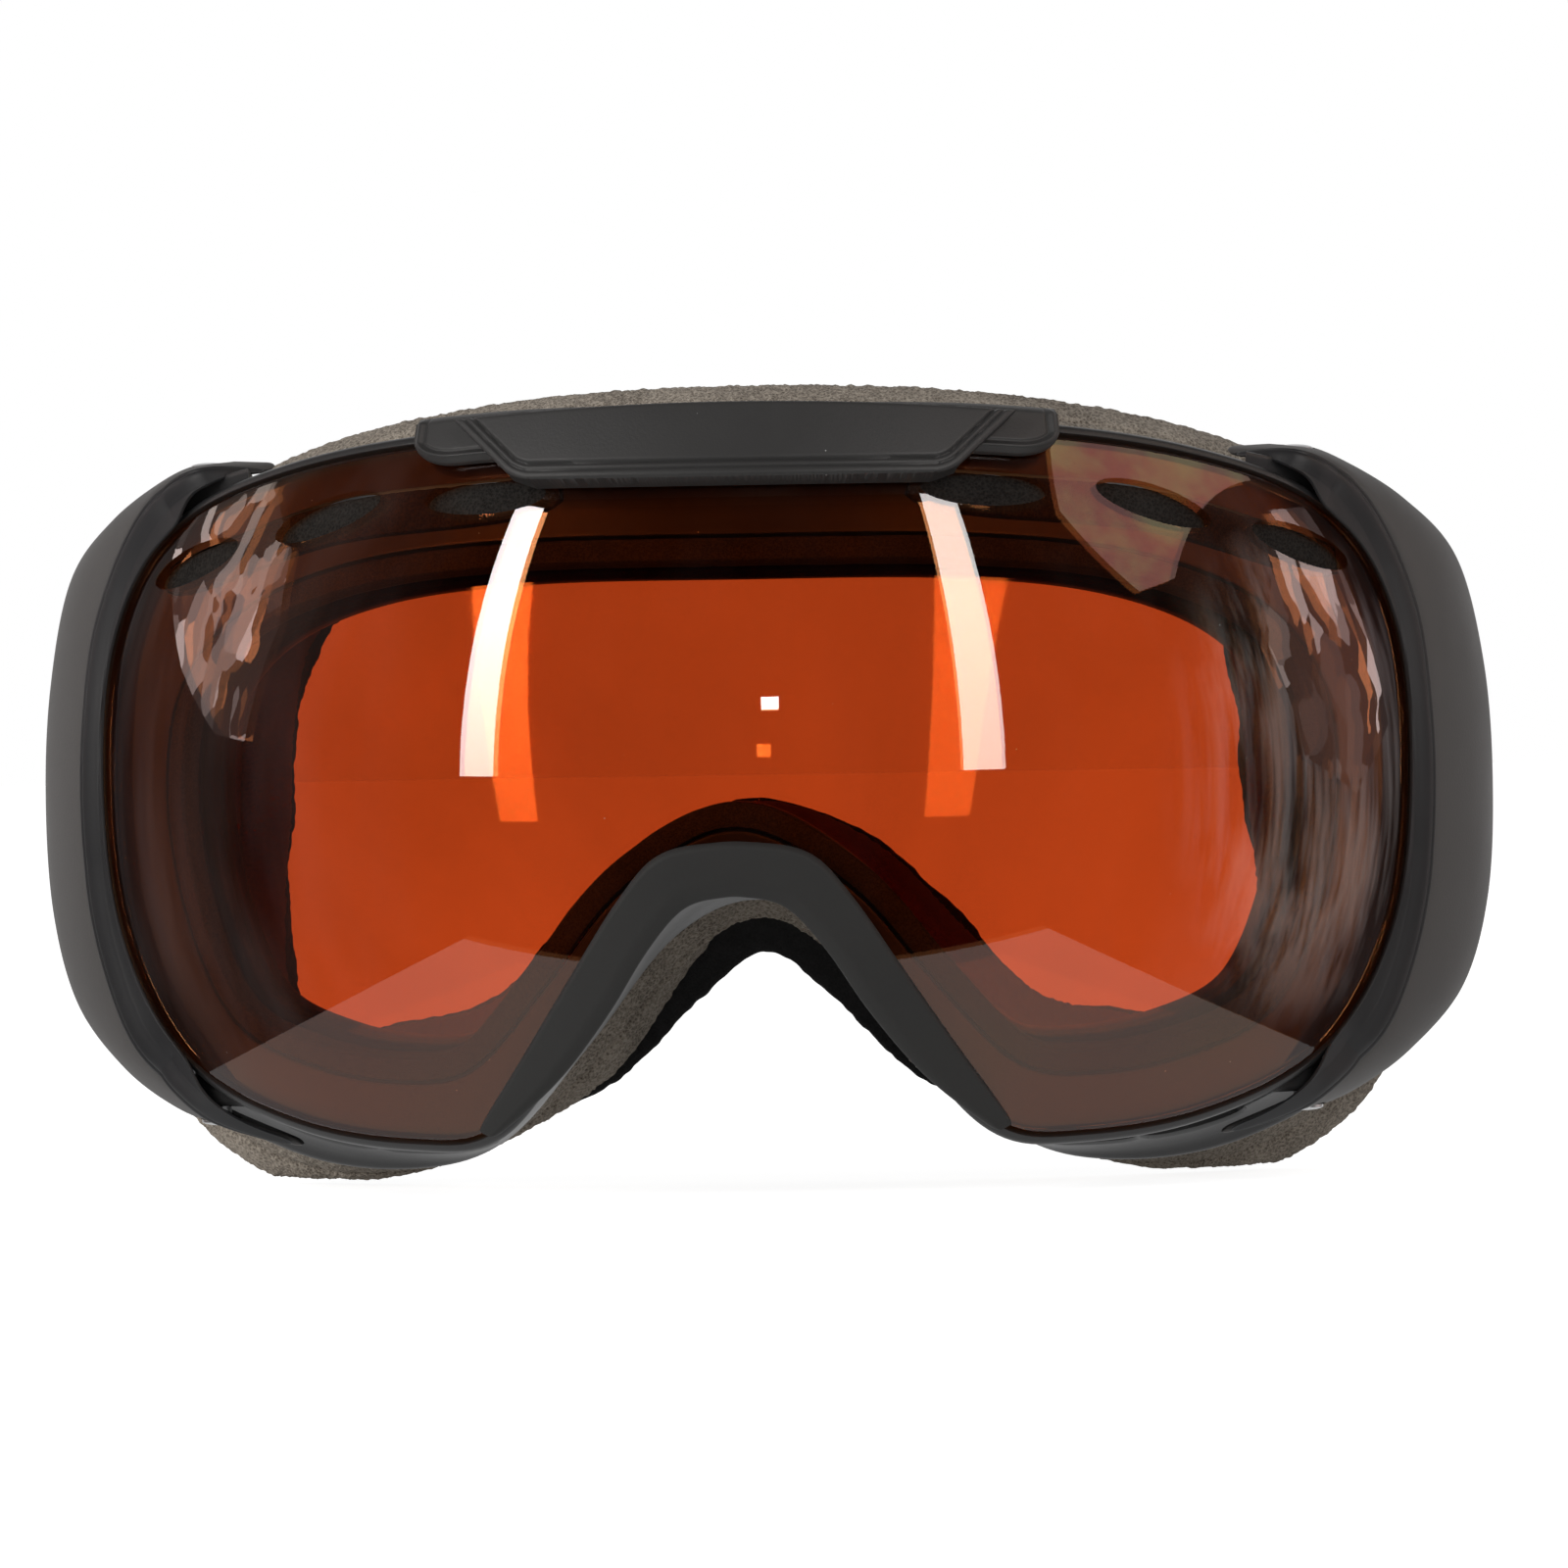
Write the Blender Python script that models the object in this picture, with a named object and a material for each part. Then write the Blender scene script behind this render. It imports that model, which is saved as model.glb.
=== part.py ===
"""Ski goggles with a wide spherical double lens, as separate parts.

A moulded frame carries an outer lens that overhangs it, an inner lens on a foam
spacer, a nose trim, a sliding lens latch on top, two hinged strap outriggers and
the layered face foam. X is to the wearer's left, -Y the way the lens faces, +Z up.
The frame's own axes start at the front of the lens, on its centre plane.
"""

import math

import bmesh
import bpy
import numpy as np
from mathutils import Vector

MM = 0.001

# ---- Overall sizes -----------------------------------------------------------
LENS_WIDTH = 159.0 * MM
LENS_HEIGHT = 84.3 * MM
LENS_RADIUS = 95.0 * MM  # of the sphere that the front of the lens lies on
LENS_CENTRE_Z = 48.0 * MM  # height of that sphere's centre
FACE_DEPTH = 54.0 * MM  # from the front of the lens to the foam at the brow
FACE_RADIUS = 112.0 * MM  # of the face curve, seen from above
NOSE_REACH = 6.0 * MM  # how far the foam runs back beside the nose

# ---- Lenses ------------------------------------------------------------------
OUTER_LENS = 1.4 * MM
SPACER = 2.7 * MM
INNER_LENS = 1.2 * MM
GASKET = 1.4 * MM
SPACER_WIDTH = 3.0 * MM
GASKET_WIDTH = 2.7 * MM
FIT = 0.3 * MM  # clearance between parts that touch when they are put together
EDGE_FIT = 0.4 * MM  # clearance round the edge of a lens
STACK_FIT = 0.45 * MM  # between the layers of the lens stack, whose curves are faceted

# ---- Frame -------------------------------------------------------------------
FRAME_WALL = 1.6 * MM
RIM_WIDTH = 1.25 * MM  # of the rim that shows round the lens
RIM_CHAMFER = 0.5 * MM
LEDGE_WIDTH = 3.4 * MM  # the ledge that the inner lens is pressed on
FLANGE_SHARE = 0.6  # of the foam's width that the frame's flange backs
WINDOW_LENGTH = 15.0 * MM  # of a vent window in the frame
WINDOW_PITCH = 23.0 * MM  # between the windows on top
LOWER_PITCH = 17.4 * MM  # between the two windows below an eye
WINDOW_PAST = 1.4 * MM  # how far a window's cutter reaches past the wall, whose back is faceted

# ---- Vent holes in the outer lens --------------------------------------------
HOLE_LENGTH = 14.8 * MM
HOLE_WIDTH = 4.5 * MM
VENT_FOAM_WIDTH = 5.4 * MM
VENT_FOAM = 1.5 * MM

# ---- Face foam ---------------------------------------------------------------
BASE_FOAM = 4.6 * MM
SOFT_FOAM = 7.8 * MM
FLEECE = 1.7 * MM
FOAM_BULGE = 0.5 * MM
LAYER_FIT = 0.5 * MM  # between the foam layers, whose faces are only nearly parallel

# ---- Nose trim ---------------------------------------------------------------
TRIM_THICK = 1.5 * MM
TRIM_HOOK = 3.0 * MM  # how far the trim hooks back under the nose arch

# ---- Lens latch --------------------------------------------------------------
TRAY_HALF = 38.5 * MM
TRAY_PLATE = 1.2 * MM
TRAY_BEAD = 0.4 * MM
TRAY_DROP = 4.0 * MM  # how far the side tabs reach down over the lens
BAR_TOP_HALF = 32.5 * MM
BAR_BOTTOM_HALF = 24.4 * MM
BAR_HEIGHT = 9.5 * MM
BAR_CROWN = 1.5 * MM
BAR_PLATE = 1.3 * MM
BAR_LIP = 1.2 * MM

# ---- Outriggers --------------------------------------------------------------
PIVOT_INSET = 13.5 * MM  # from the lens's side edge in to the pivot line
PIVOT_BEHIND = 1.0 * MM  # from the lens's side edge back to the pivot line
EAR_THICK = 2.1 * MM
EAR_BEVEL = 0.8 * MM
TONGUE_DROP = 2.8 * MM  # from the lower ear to the end of the tongue under the frame
ARM_FRONT = 1.2 * MM  # thickness at the front edge
ARM_THICK = 2.2 * MM
BOSS_RADIUS = 3.1 * MM
BOSS_HEIGHT = 4.6 * MM
BOSS_PROUD = 2.0 * MM
PIN_RADIUS = 1.3 * MM
PIN_HEAD_RADIUS = 2.3 * MM
PIN_HEAD = 0.8 * MM
STRAP_SLOT_HEIGHT = 42.0 * MM
STRAP_SLOT_WIDTH = 5.6 * MM
STRAP_BAR = 4.4 * MM  # plastic behind the strap slot
EDGE_WIDTH = 4.6 * MM  # of the soft edging beside the lens
EDGE_HEIGHT = 2.0 * MM
EDGE_LIFT = 1.4 * MM  # how much further its ends stand off, to pass in front of the ears
EDGE_TAPER = 1.4  # how many points of the front edge it takes to reach its full width

# ---- Smoothness --------------------------------------------------------------
HALF_SAMPLES = 26
ARM_SAMPLES = 17
OUTER_RINGS = (1.0, 0.93, 0.85, 0.76, 0.64, 0.44, 0.22)
INNER_RINGS = (1.0, 0.93, 0.8, 0.6, 0.32)

# Matched points of the front outlines, from the top of the centre line round the
# wearer's left side to the nose, in millimetres for the nominal lens:
# lens edge, inner lens seat, frame flange, foam at the face, face opening.
STATIONS = (
    ((0, 91.2), (0, 79.5), (0, 92.6), (0, 97.3), (0, 76.6)),
    ((30, 90.8), (28, 79.2), (31, 91.9), (31, 96), (26, 76.2)),
    ((54, 87.4), (48, 76.8), (56, 87.0), (57, 89.8), (44, 74)),
    ((70.5, 80.3), (62.5, 71), (72.5, 78.4), (74, 79), (55, 67.6)),
    ((78, 67), (70.5, 61.5), (79.5, 65), (81, 65), (58.2, 57.5)),
    ((79.5, 48), (72.5, 48), (81, 47), (82.3, 46), (59, 45)),
    ((77, 30), (70, 32.5), (78.8, 28), (80.3, 26), (60, 33)),
    ((69, 16), (64, 20), (71.5, 11.8), (73.8, 8.6), (59, 22.5)),
    ((55, 8.9), (53.5, 14.7), (58, 4), (61, -0.3), (50.5, 19)),
    ((40, 6.9), (42, 12.9), (43.5, 2.2), (49, 0.4), (41, 20.2)),
    ((30, 9.2), (33, 14.8), (31.5, 6.2), (33, 6), (33, 22.5)),
    ((19.8, 21.4), (23.2, 25.2), (20.6, 17.8), (18.6, 11.8), (24.5, 30.5)),
    ((10.4, 34.2), (13.6, 36.6), (10.3, 30), (8.6, 21.6), (14, 41)),
    ((0, 39.3), (0, 43.9), (0, 34.6), (0, 28.2), (0, 46.5)),
)
LENS, SEAT, FLANGE, FACE, OPENING = range(5)
EYE_STATION = 8.7  # the station number straight below the left eye
TURN = 2 * (len(STATIONS) - 1)  # stations once round

# Vent holes of the wearer's left side, for the nominal lens: where each one's middle lies
# in millimetres, and how many degrees its long side falls outwards.
HOLES = ((29.7, 83.1, 2.7), (48.9, 81.5, 18.5), (66.5, 76.4, 21.5))

# Nose trim, matched points of its outer and lower edges from the centre to a tip.
TRIM_OUTER = ((0, 42.7), (8.4, 41.4), (13.6, 36.2), (20, 26.5), (26, 17), (31, 9), (31.0, 7.8))
TRIM_LOWER = ((0, 36.2), (5.8, 34.9), (10.6, 29.6), (15.2, 22.5), (21.4, 14.5), (28.4, 7.8), (30, 7))

# Outrigger on the +X side, from its upper tip to its lower tip, as (across, back, up):
# the front edge, the widest line and the rear edge. "Across" is from the centre plane and
# "back" from the lens's side edge. The first two and the last two points are the ears, and
# lie across and back from the pivot instead, and up from where the frame puts the ear.
ARM_FRONT_EDGE = (
    (-5.5, -2.5, -0.8), (0, -6, 0), (70.4, -4.1, 84.6), (74.9, -2.8, 77.2), (79.1, -0.4, 67.5),
    (81.8, 1, 57), (82.6, 1.3, 46.5), (81.7, 0.7, 35.5), (79, -1, 26), (74.9, -3.2, 17.6),
    (70.4, -4.3, 12.4), (0, -6, 0), (-9.8, -1.5, 0),
)
ARM_WIDEST = (
    (-5.9, -0.5, -0.8), (0, 0, 0), (72, 3.5, 87.3), (79.5, 9.5, 82.8), (85.2, 15.5, 74.8),
    (88.1, 18.5, 61.5), (89, 19, 47.5), (88.2, 18.5, 33.5), (85.6, 15.5, 22), (79.6, 9.5, 14),
    (72.2, 3.5, 9.8), (0, 0, 0), (-10, 0, 0),
)
ARM_REAR_EDGE = (
    (-5.3, 1.8, -0.8), (0, 4.5, 0), (71.7, 10.2, 86.5), (79.2, 22, 80.8), (84.9, 33.3, 72.5),
    (86.9, 36.6, 60.5), (87.5, 37.2, 47), (86.9, 36.6, 33.5), (84.7, 33.3, 22.6), (78.8, 22, 15.6),
    (71.7, 10.2, 10.8), (0, 4.5, 0), (-9.8, 1.5, 0),
)


# ---- Curves ------------------------------------------------------------------
def spline(points, at, closed=False):
    """A Catmull-Rom curve through the points, at an array of point numbers."""
    points = np.asarray(points, float)
    count = len(points)
    at = np.atleast_1d(np.asarray(at, float))
    first = np.floor(at).astype(int)
    if not closed:
        first = np.clip(first, 0, count - 2)
    f = (at - first)[:, None]
    if closed:
        p0, p1, p2, p3 = (points[(first + k) % count] for k in (-1, 0, 1, 2))
    else:
        ends = np.vstack([2 * points[0] - points[1], points, 2 * points[-1] - points[-2]])
        p0, p1, p2, p3 = (ends[first + k] for k in (0, 1, 2, 3))
    return p1 + 0.5 * f * (
        p2 - p0 + f * (2 * p0 - 5 * p1 + 4 * p2 - p3 + f * (3 * (p1 - p2) + p3 - p0))
    )


def front_scale():
    """Metres across and up for one unit of the tables of points."""
    lens = np.array([row[LENS] for row in STATIONS], float)
    return LENS_WIDTH / (2 * lens[:, 0].max()), LENS_HEIGHT / np.ptp(lens[:, 1])


def chart(which, at):
    """One of the front outlines as (x, z), at an array of station numbers once round."""
    half = np.array([row[which] for row in STATIONS], float)
    left = half[-2:0:-1] * (-1, 1)
    points = np.vstack([half, left]) * front_scale()
    return spline(points, np.asarray(at) % TURN, closed=True)


def station_samples():
    """Station numbers once round, closer together where the lens edge bends more."""
    fine = np.linspace(0, TURN / 2, 1201)
    line = chart(LENS, fine)
    step = np.diff(line, axis=0)
    length = np.hypot(*step.T)
    heading = np.unwrap(np.arctan2(step[:, 1], step[:, 0]))
    bend = np.abs(np.gradient(heading))
    bend = np.convolve(bend, np.ones(41) / 41, mode="same")
    weight = length / length.mean() + 2.6 * bend / bend.mean() * 0.35
    along = np.concatenate([[0], np.cumsum(weight)])
    half = np.interp(np.linspace(0, along[-1], HALF_SAMPLES), along, fine)
    return np.concatenate([half, TURN - half[-2:0:-1]])


def station_at(x):
    """The station number where the lens's top edge is at x, on either side."""
    fine = np.linspace(0, 5, 501)
    number = np.interp(abs(x), chart(LENS, fine)[:, 0], fine)
    return math.copysign(number, x)


# ---- Surfaces ----------------------------------------------------------------
def sphere_centre():
    return np.array([0.0, LENS_RADIUS, LENS_CENTRE_Z])


def on_lens(xz, depth=0.0):
    """Points at (x, z) on the lens's front sphere, then moved in along its radius."""
    x, z = xz[:, 0], xz[:, 1] - LENS_CENTRE_Z
    y = -np.sqrt(LENS_RADIUS**2 - x**2 - z**2)
    return sphere_centre() + np.stack([x, y, z], axis=1) * (1 - depth / LENS_RADIUS)


def edge(which, at, out, depth):
    """An outline moved outwards along the lens's sphere, and in along its radius."""
    centre = sphere_centre()
    point = on_lens(chart(which, at)) - centre
    ahead = on_lens(chart(which, at + 0.01)) - on_lens(chart(which, at - 0.01))
    ahead /= np.linalg.norm(ahead, axis=1)[:, None]
    outward = np.cross(point / LENS_RADIUS, ahead)
    moved = point + outward * np.reshape(out, (-1, 1))
    moved /= np.linalg.norm(moved, axis=1)[:, None]
    return centre + moved * (LENS_RADIUS - np.reshape(depth, (-1, 1)))


def face_y(xz):
    """How far back the wearer's face lies at (x, z), from the front of the lens."""
    x, z = xz[:, 0], xz[:, 1]
    beside_nose = np.exp(-((x / (27 * MM)) ** 2) - ((z - 22 * MM) / (24 * MM)) ** 2)
    return FACE_DEPTH + FACE_RADIUS - np.sqrt(FACE_RADIUS**2 - x**2) + NOSE_REACH * beside_nose


def foam_depth():
    return BASE_FOAM + SOFT_FOAM + FLEECE + FIT + 2 * LAYER_FIT


def on_face(xz, ahead):
    """Points at (x, z), this far in front of the wearer's face."""
    return np.stack([xz[:, 0], face_y(xz) - ahead, xz[:, 1]], axis=1)


def outward_of(curve, at):
    """Unit normals in the XZ plane, pointing out of a closed curve."""
    ahead = curve(at + 0.01) - curve(at - 0.01)
    normal = np.stack([-ahead[:, 2], np.zeros(len(ahead)), ahead[:, 0]], axis=1)
    return normal / np.linalg.norm(normal, axis=1)[:, None]


def wall(at, share, inset=0.0):
    """The frame's side wall, from the lens rim (share 0) to the flange (share 1)."""

    def curve(at):
        front = edge(LENS, at, EDGE_FIT + RIM_WIDTH, RIM_CHAMFER)
        back = on_face(chart(FLANGE, at), foam_depth())
        flare = 0.15 * share + 0.85 * share**4
        mixed = front + (back - front) * flare
        mixed[:, 1] = front[:, 1] + (back[:, 1] - front[:, 1]) * share
        return mixed

    return curve(at) - outward_of(curve, at) * inset


def flange(at, share, ahead):
    """The flange that carries the foam: share 0 is its outer edge and 1 its inner edge."""
    outer, inner = chart(FLANGE, at), chart(OPENING, at)
    return on_face(outer + (inner - outer) * FLANGE_SHARE * share, foam_depth() + ahead)


def foam_ring(at, outer_out, inner_in, level):
    """Foam outline at a level from the flange (0) to the face (1), in from its edges."""
    outer = chart(FLANGE, at) * (1 - level) + chart(FACE, at) * level
    back = chart(FLANGE, at) + (chart(OPENING, at) - chart(FLANGE, at)) * FLANGE_SHARE
    inner = back * (1 - level) + chart(OPENING, at) * level
    across = inner - outer
    width = np.linalg.norm(across, axis=1)[:, None]
    return outer - across / width * outer_out, inner - across / width * inner_in


# ---- Meshes ------------------------------------------------------------------
def new_object(name, points, faces, finish, smooth_angle=32):
    """An object from points in metres, with its faces made to point outwards."""
    mesh = bpy.data.meshes.new(name)
    mesh.from_pydata([tuple(p) for p in points], [], [tuple(int(i) for i in f) for f in faces])
    shape = bmesh.new()
    shape.from_mesh(mesh)
    bmesh.ops.remove_doubles(shape, verts=shape.verts, dist=1e-6)
    bmesh.ops.recalc_face_normals(shape, faces=shape.faces)
    shape.to_mesh(mesh)
    shape.free()
    mesh.shade_smooth()
    mesh.set_sharp_from_angle(angle=math.radians(smooth_angle))
    obj = bpy.data.objects.new(name, mesh)
    bpy.context.scene.collection.objects.link(obj)
    if finish is not None:
        mesh.materials.append(finish)
    return obj


def swept(name, sections, finish, closed, smooth_angle=32):
    """A closed solid from sections of shape (count, points, 3), in order along a path."""
    sections = np.asarray(sections)
    count, around = sections.shape[:2]
    rows = range(count if closed else count - 1)
    faces = []
    for i in rows:
        j = (i + 1) % count
        for k in range(around):
            m = (k + 1) % around
            faces.append((i * around + k, i * around + m, j * around + m, j * around + k))
    if not closed:
        faces.append(tuple(range(around)))
        faces.append(tuple(range((count - 1) * around, count * around)))
    return new_object(name, sections.reshape(-1, 3), faces, finish, smooth_angle)


def ring(name, curves, finish, smooth_angle=32):
    """A closed ring from curves of shape (samples, 3), in order round its section."""
    return swept(name, np.stack(curves, axis=1), finish, True, smooth_angle)


def dished(name, which, inset, depth, thick, shares, finish):
    """A lens: an outline filled on the sphere in rings, with a thickness along its radius."""
    at = station_samples()
    rim = edge(which, at, -inset, 0.0)[:, [0, 2]]
    middle = np.array([0.0, (rim[0, 1] + rim[len(at) // 2, 1]) / 2])
    count = len(at)
    points = []
    for level in (depth, depth + thick):
        for share in shares:
            points.extend(on_lens(middle + (rim - middle) * share, level))
        points.extend(on_lens(middle[None], level))
    back = len(shares) * count + 1
    faces = []
    for i in range(count):
        j = (i + 1) % count
        for k in range(len(shares) - 1):
            a, b = k * count, (k + 1) * count
            faces.append((a + i, a + j, b + j, b + i))
            faces.append((back + a + i, back + b + i, back + b + j, back + a + j))
        a = (len(shares) - 1) * count
        faces.append((a + i, a + j, back - 1))
        faces.append((back + a + j, back + a + i, 2 * back - 1))
        faces.append((i, back + i, back + j, j))
    return new_object(name, points, faces, finish)


def cylinder_points(centre, axis, radius, start, end, sides=16):
    """Points and faces of a cylinder from start to end along an axis."""
    axis = Vector(axis).normalized()
    side = axis.orthogonal().normalized()
    other = axis.cross(side)
    points = []
    for level in (start, end):
        for i in range(sides):
            turn = 2 * math.pi * i / sides
            spoke = side * math.cos(turn) + other * math.sin(turn)
            points.append(Vector(centre) + axis * level + spoke * radius)
    faces = [tuple(range(sides)), tuple(range(sides, 2 * sides))]
    faces += [(i, (i + 1) % sides, sides + (i + 1) % sides, sides + i) for i in range(sides)]
    return points, faces


def gather(pieces):
    """Points and faces of several shapes, numbered as one mesh."""
    points, faces = [], []
    for some_points, some_faces in pieces:
        faces += [tuple(i + len(points) for i in face) for face in some_faces]
        points += [tuple(p) for p in some_points]
    return points, faces


def sweep_points(sections):
    """Points and faces of a sweep with closed ends, for a cutter."""
    sections = np.asarray(sections)
    count, around = sections.shape[:2]
    faces = [tuple(range(around)), tuple(range((count - 1) * around, count * around))]
    for i in range(count - 1):
        for k in range(around):
            m = (k + 1) % around
            faces.append((i * around + k, i * around + m, (i + 1) * around + m, (i + 1) * around + k))
    return sections.reshape(-1, 3), faces


def helper(name, pieces):
    """A cutter or an added shape, which isn't a part itself."""
    points, faces = gather(pieces)
    obj = new_object(name, points, faces, None)
    obj.hide_render = True
    obj.hide_viewport = False
    obj.display_type = "WIRE"
    return obj


def combine(obj, tool, operation):
    boolean = obj.modifiers.new(tool.name, "BOOLEAN")
    boolean.operation = operation
    boolean.object = tool
    boolean.solver = "EXACT"
    boolean.use_self = True


def finish_of(name, colour, roughness, metallic=0.0, transmission=0.0):
    material = bpy.data.materials.new(name)
    material.use_nodes = True
    shader = material.node_tree.nodes["Principled BSDF"]
    shader.inputs["Base Color"].default_value = (*colour, 1.0)
    shader.inputs["Roughness"].default_value = roughness
    shader.inputs["Metallic"].default_value = metallic
    shader.inputs["Transmission Weight"].default_value = transmission
    material.diffuse_color = (*colour, 1.0)
    return material


# ---- Lenses and seals --------------------------------------------------------
def build_lenses(finishes):
    at = station_samples()
    outer = dished(
        "lens_outer", LENS, 0.0, 0.0, OUTER_LENS, OUTER_RINGS, finishes["tinted_lens"]
    )
    spacer_front = OUTER_LENS + STACK_FIT
    inner_front = spacer_front + SPACER + STACK_FIT
    gasket_front = inner_front + INNER_LENS + STACK_FIT
    inner = dished(
        "lens_inner", SEAT, EDGE_FIT, inner_front, INNER_LENS, INNER_RINGS, finishes["clear_lens"]
    )
    seals = []
    for name, width, front, thick in (
        ("lens_spacer", SPACER_WIDTH, spacer_front, SPACER),
        ("lens_gasket", GASKET_WIDTH, gasket_front, GASKET),
    ):
        corners = (
            edge(SEAT, at, -EDGE_FIT, front),
            edge(SEAT, at, -EDGE_FIT - width, front),
            edge(SEAT, at, -EDGE_FIT - width, front + thick),
            edge(SEAT, at, -EDGE_FIT, front + thick),
        )
        seals.append(ring(name, corners, finishes["seal_foam"]))
    holes = [hole_cutter(side, hole) for side in (-1, 1) for hole in HOLES]
    combine(outer, helper("lens_holes", holes), "DIFFERENCE")
    return [outer, inner, *seals]


def front_direction(places, heading):
    """Unit vectors along the lens's sphere that look like the (x, z) headings from ahead."""
    normal = (places - sphere_centre()) / LENS_RADIUS
    back = -(normal[:, 0] * heading[:, 0] + normal[:, 2] * heading[:, 1]) / normal[:, 1]
    along = np.stack([heading[:, 0], back, heading[:, 1]], axis=1)
    return along / np.linalg.norm(along, axis=1)[:, None], normal


def hole_cutter(side, hole):
    """An oval plug through the outer lens."""
    x, z, fall = hole
    place = np.array([[side * x, z]]) * front_scale()
    heading = np.array([[math.cos(math.radians(fall)), -side * math.sin(math.radians(fall))]])
    centre = on_lens(place)
    along, normal = front_direction(centre, heading)
    across = np.cross(normal, along)
    turns = np.linspace(0, 2 * math.pi, 20, endpoint=False)[:, None]
    oval = np.cos(turns) * along * HOLE_LENGTH / 2 + np.sin(turns) * across * HOLE_WIDTH / 2
    return sweep_points([centre + oval + normal * 2 * MM, centre + oval - normal * 4 * MM])


def vent_strip(side, grow, front, back):
    """The long vent slot under the lens holes on one side, or the foam that fills it."""
    numbers = np.linspace(-0.45, 2.3, 11)
    middles = np.array([hole[:2] for hole in HOLES]) * front_scale() * (side, 1)
    heading = spline(middles, numbers + 0.01) - spline(middles, numbers - 0.01)
    centre = on_lens(spline(middles, numbers))
    along, normal = front_direction(centre, heading)
    across = np.cross(normal, along)
    stretch = np.linspace(-1, 1, len(numbers))
    round_end = np.clip(1 - np.abs(stretch) ** 7, 0, 1) ** 0.5
    half = (VENT_FOAM_WIDTH / 2) * (0.45 + 0.55 * round_end) + grow
    centre = centre + along * (np.sign(stretch) * (np.abs(stretch) > 0.99) * grow)[:, None]
    sections = []
    for out, depth in ((half, front), (-half, front), (-half, back), (half, back)):
        spoke = centre + across * out[:, None] - sphere_centre()
        spoke /= np.linalg.norm(spoke, axis=1)[:, None]
        sections.append(sphere_centre() + spoke * (LENS_RADIUS - depth))
    return np.stack(sections, axis=1)


# ---- Frame -------------------------------------------------------------------
def stations_for(length, middle):
    """How many station numbers a length along the frame's wall takes up there."""
    ends = wall(np.array([middle - 0.1, middle + 0.1]), 0.6)
    return 0.2 * length / np.linalg.norm(ends[1] - ends[0])


def window(middle, share_from, share_to, deep):
    """A rounded plug through the frame's wall, centred on a station number."""
    sweep = np.linspace(-1, 1, 7)
    at = middle + sweep * stations_for(WINDOW_LENGTH / 2, middle)
    half = (share_to - share_from) / 2 * (0.35 + 0.65 * np.clip(1 - sweep**6, 0, 1) ** 0.5)
    mid = (share_from + share_to) / 2
    rows = []
    for number, width in zip(at, half):
        here = np.array([number])
        rows.append(
            [
                wall(here, mid - width, -2.5 * MM)[0],
                wall(here, mid + width, -2.5 * MM)[0],
                wall(here, mid + width, deep)[0],
                wall(here, mid - width, deep)[0],
            ]
        )
    return sweep_points(rows)


def vent_windows():
    """Station numbers of the windows' middles: five on top and two under each eye."""
    top = [station_at(place * WINDOW_PITCH) for place in (-2, -1, 0, 1, 2)]
    apart = stations_for(LOWER_PITCH, EYE_STATION)
    below = [EYE_STATION - apart / 2, EYE_STATION + apart / 2]
    return top, below + [TURN - number for number in below]


def wall_height(x, y, top):
    """Height of the frame's outer wall at a place seen from above."""
    stations = np.linspace(1.5, 4.0, 101) if top else np.linspace(6.5, 9.0, 101)
    best = None
    for share in np.linspace(0, 1, 81):
        points = wall(stations, share)
        miss = np.hypot(points[:, 0] - x, points[:, 1] - y)
        k = int(miss.argmin())
        if best is None or miss[k] < best[0]:
            best = (miss[k], points[k, 2])
    return best[1]


def side_depth():
    """How far back the lens's side edge lies from the front of the lens."""
    return LENS_RADIUS - math.sqrt(LENS_RADIUS**2 - (LENS_WIDTH / 2) ** 2)


def pivot_place():
    """Where the left outrigger's pivot line lies, seen from above."""
    return LENS_WIDTH / 2 - PIVOT_INSET, side_depth() + PIVOT_BEHIND


def pivot_heights():
    """Where the frame's bosses end: above the top wall and below the bottom wall."""
    x, y = pivot_place()
    return wall_height(x, y, True) + BOSS_PROUD, wall_height(x, y, False) - BOSS_PROUD


def pivot_feet(side):
    """The end of each of a side's two bosses, and which way it points."""
    x, y = pivot_place()
    upper, lower = pivot_heights()
    return (((side * x, y, upper), 1), ((side * x, y, lower), -1))


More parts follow.
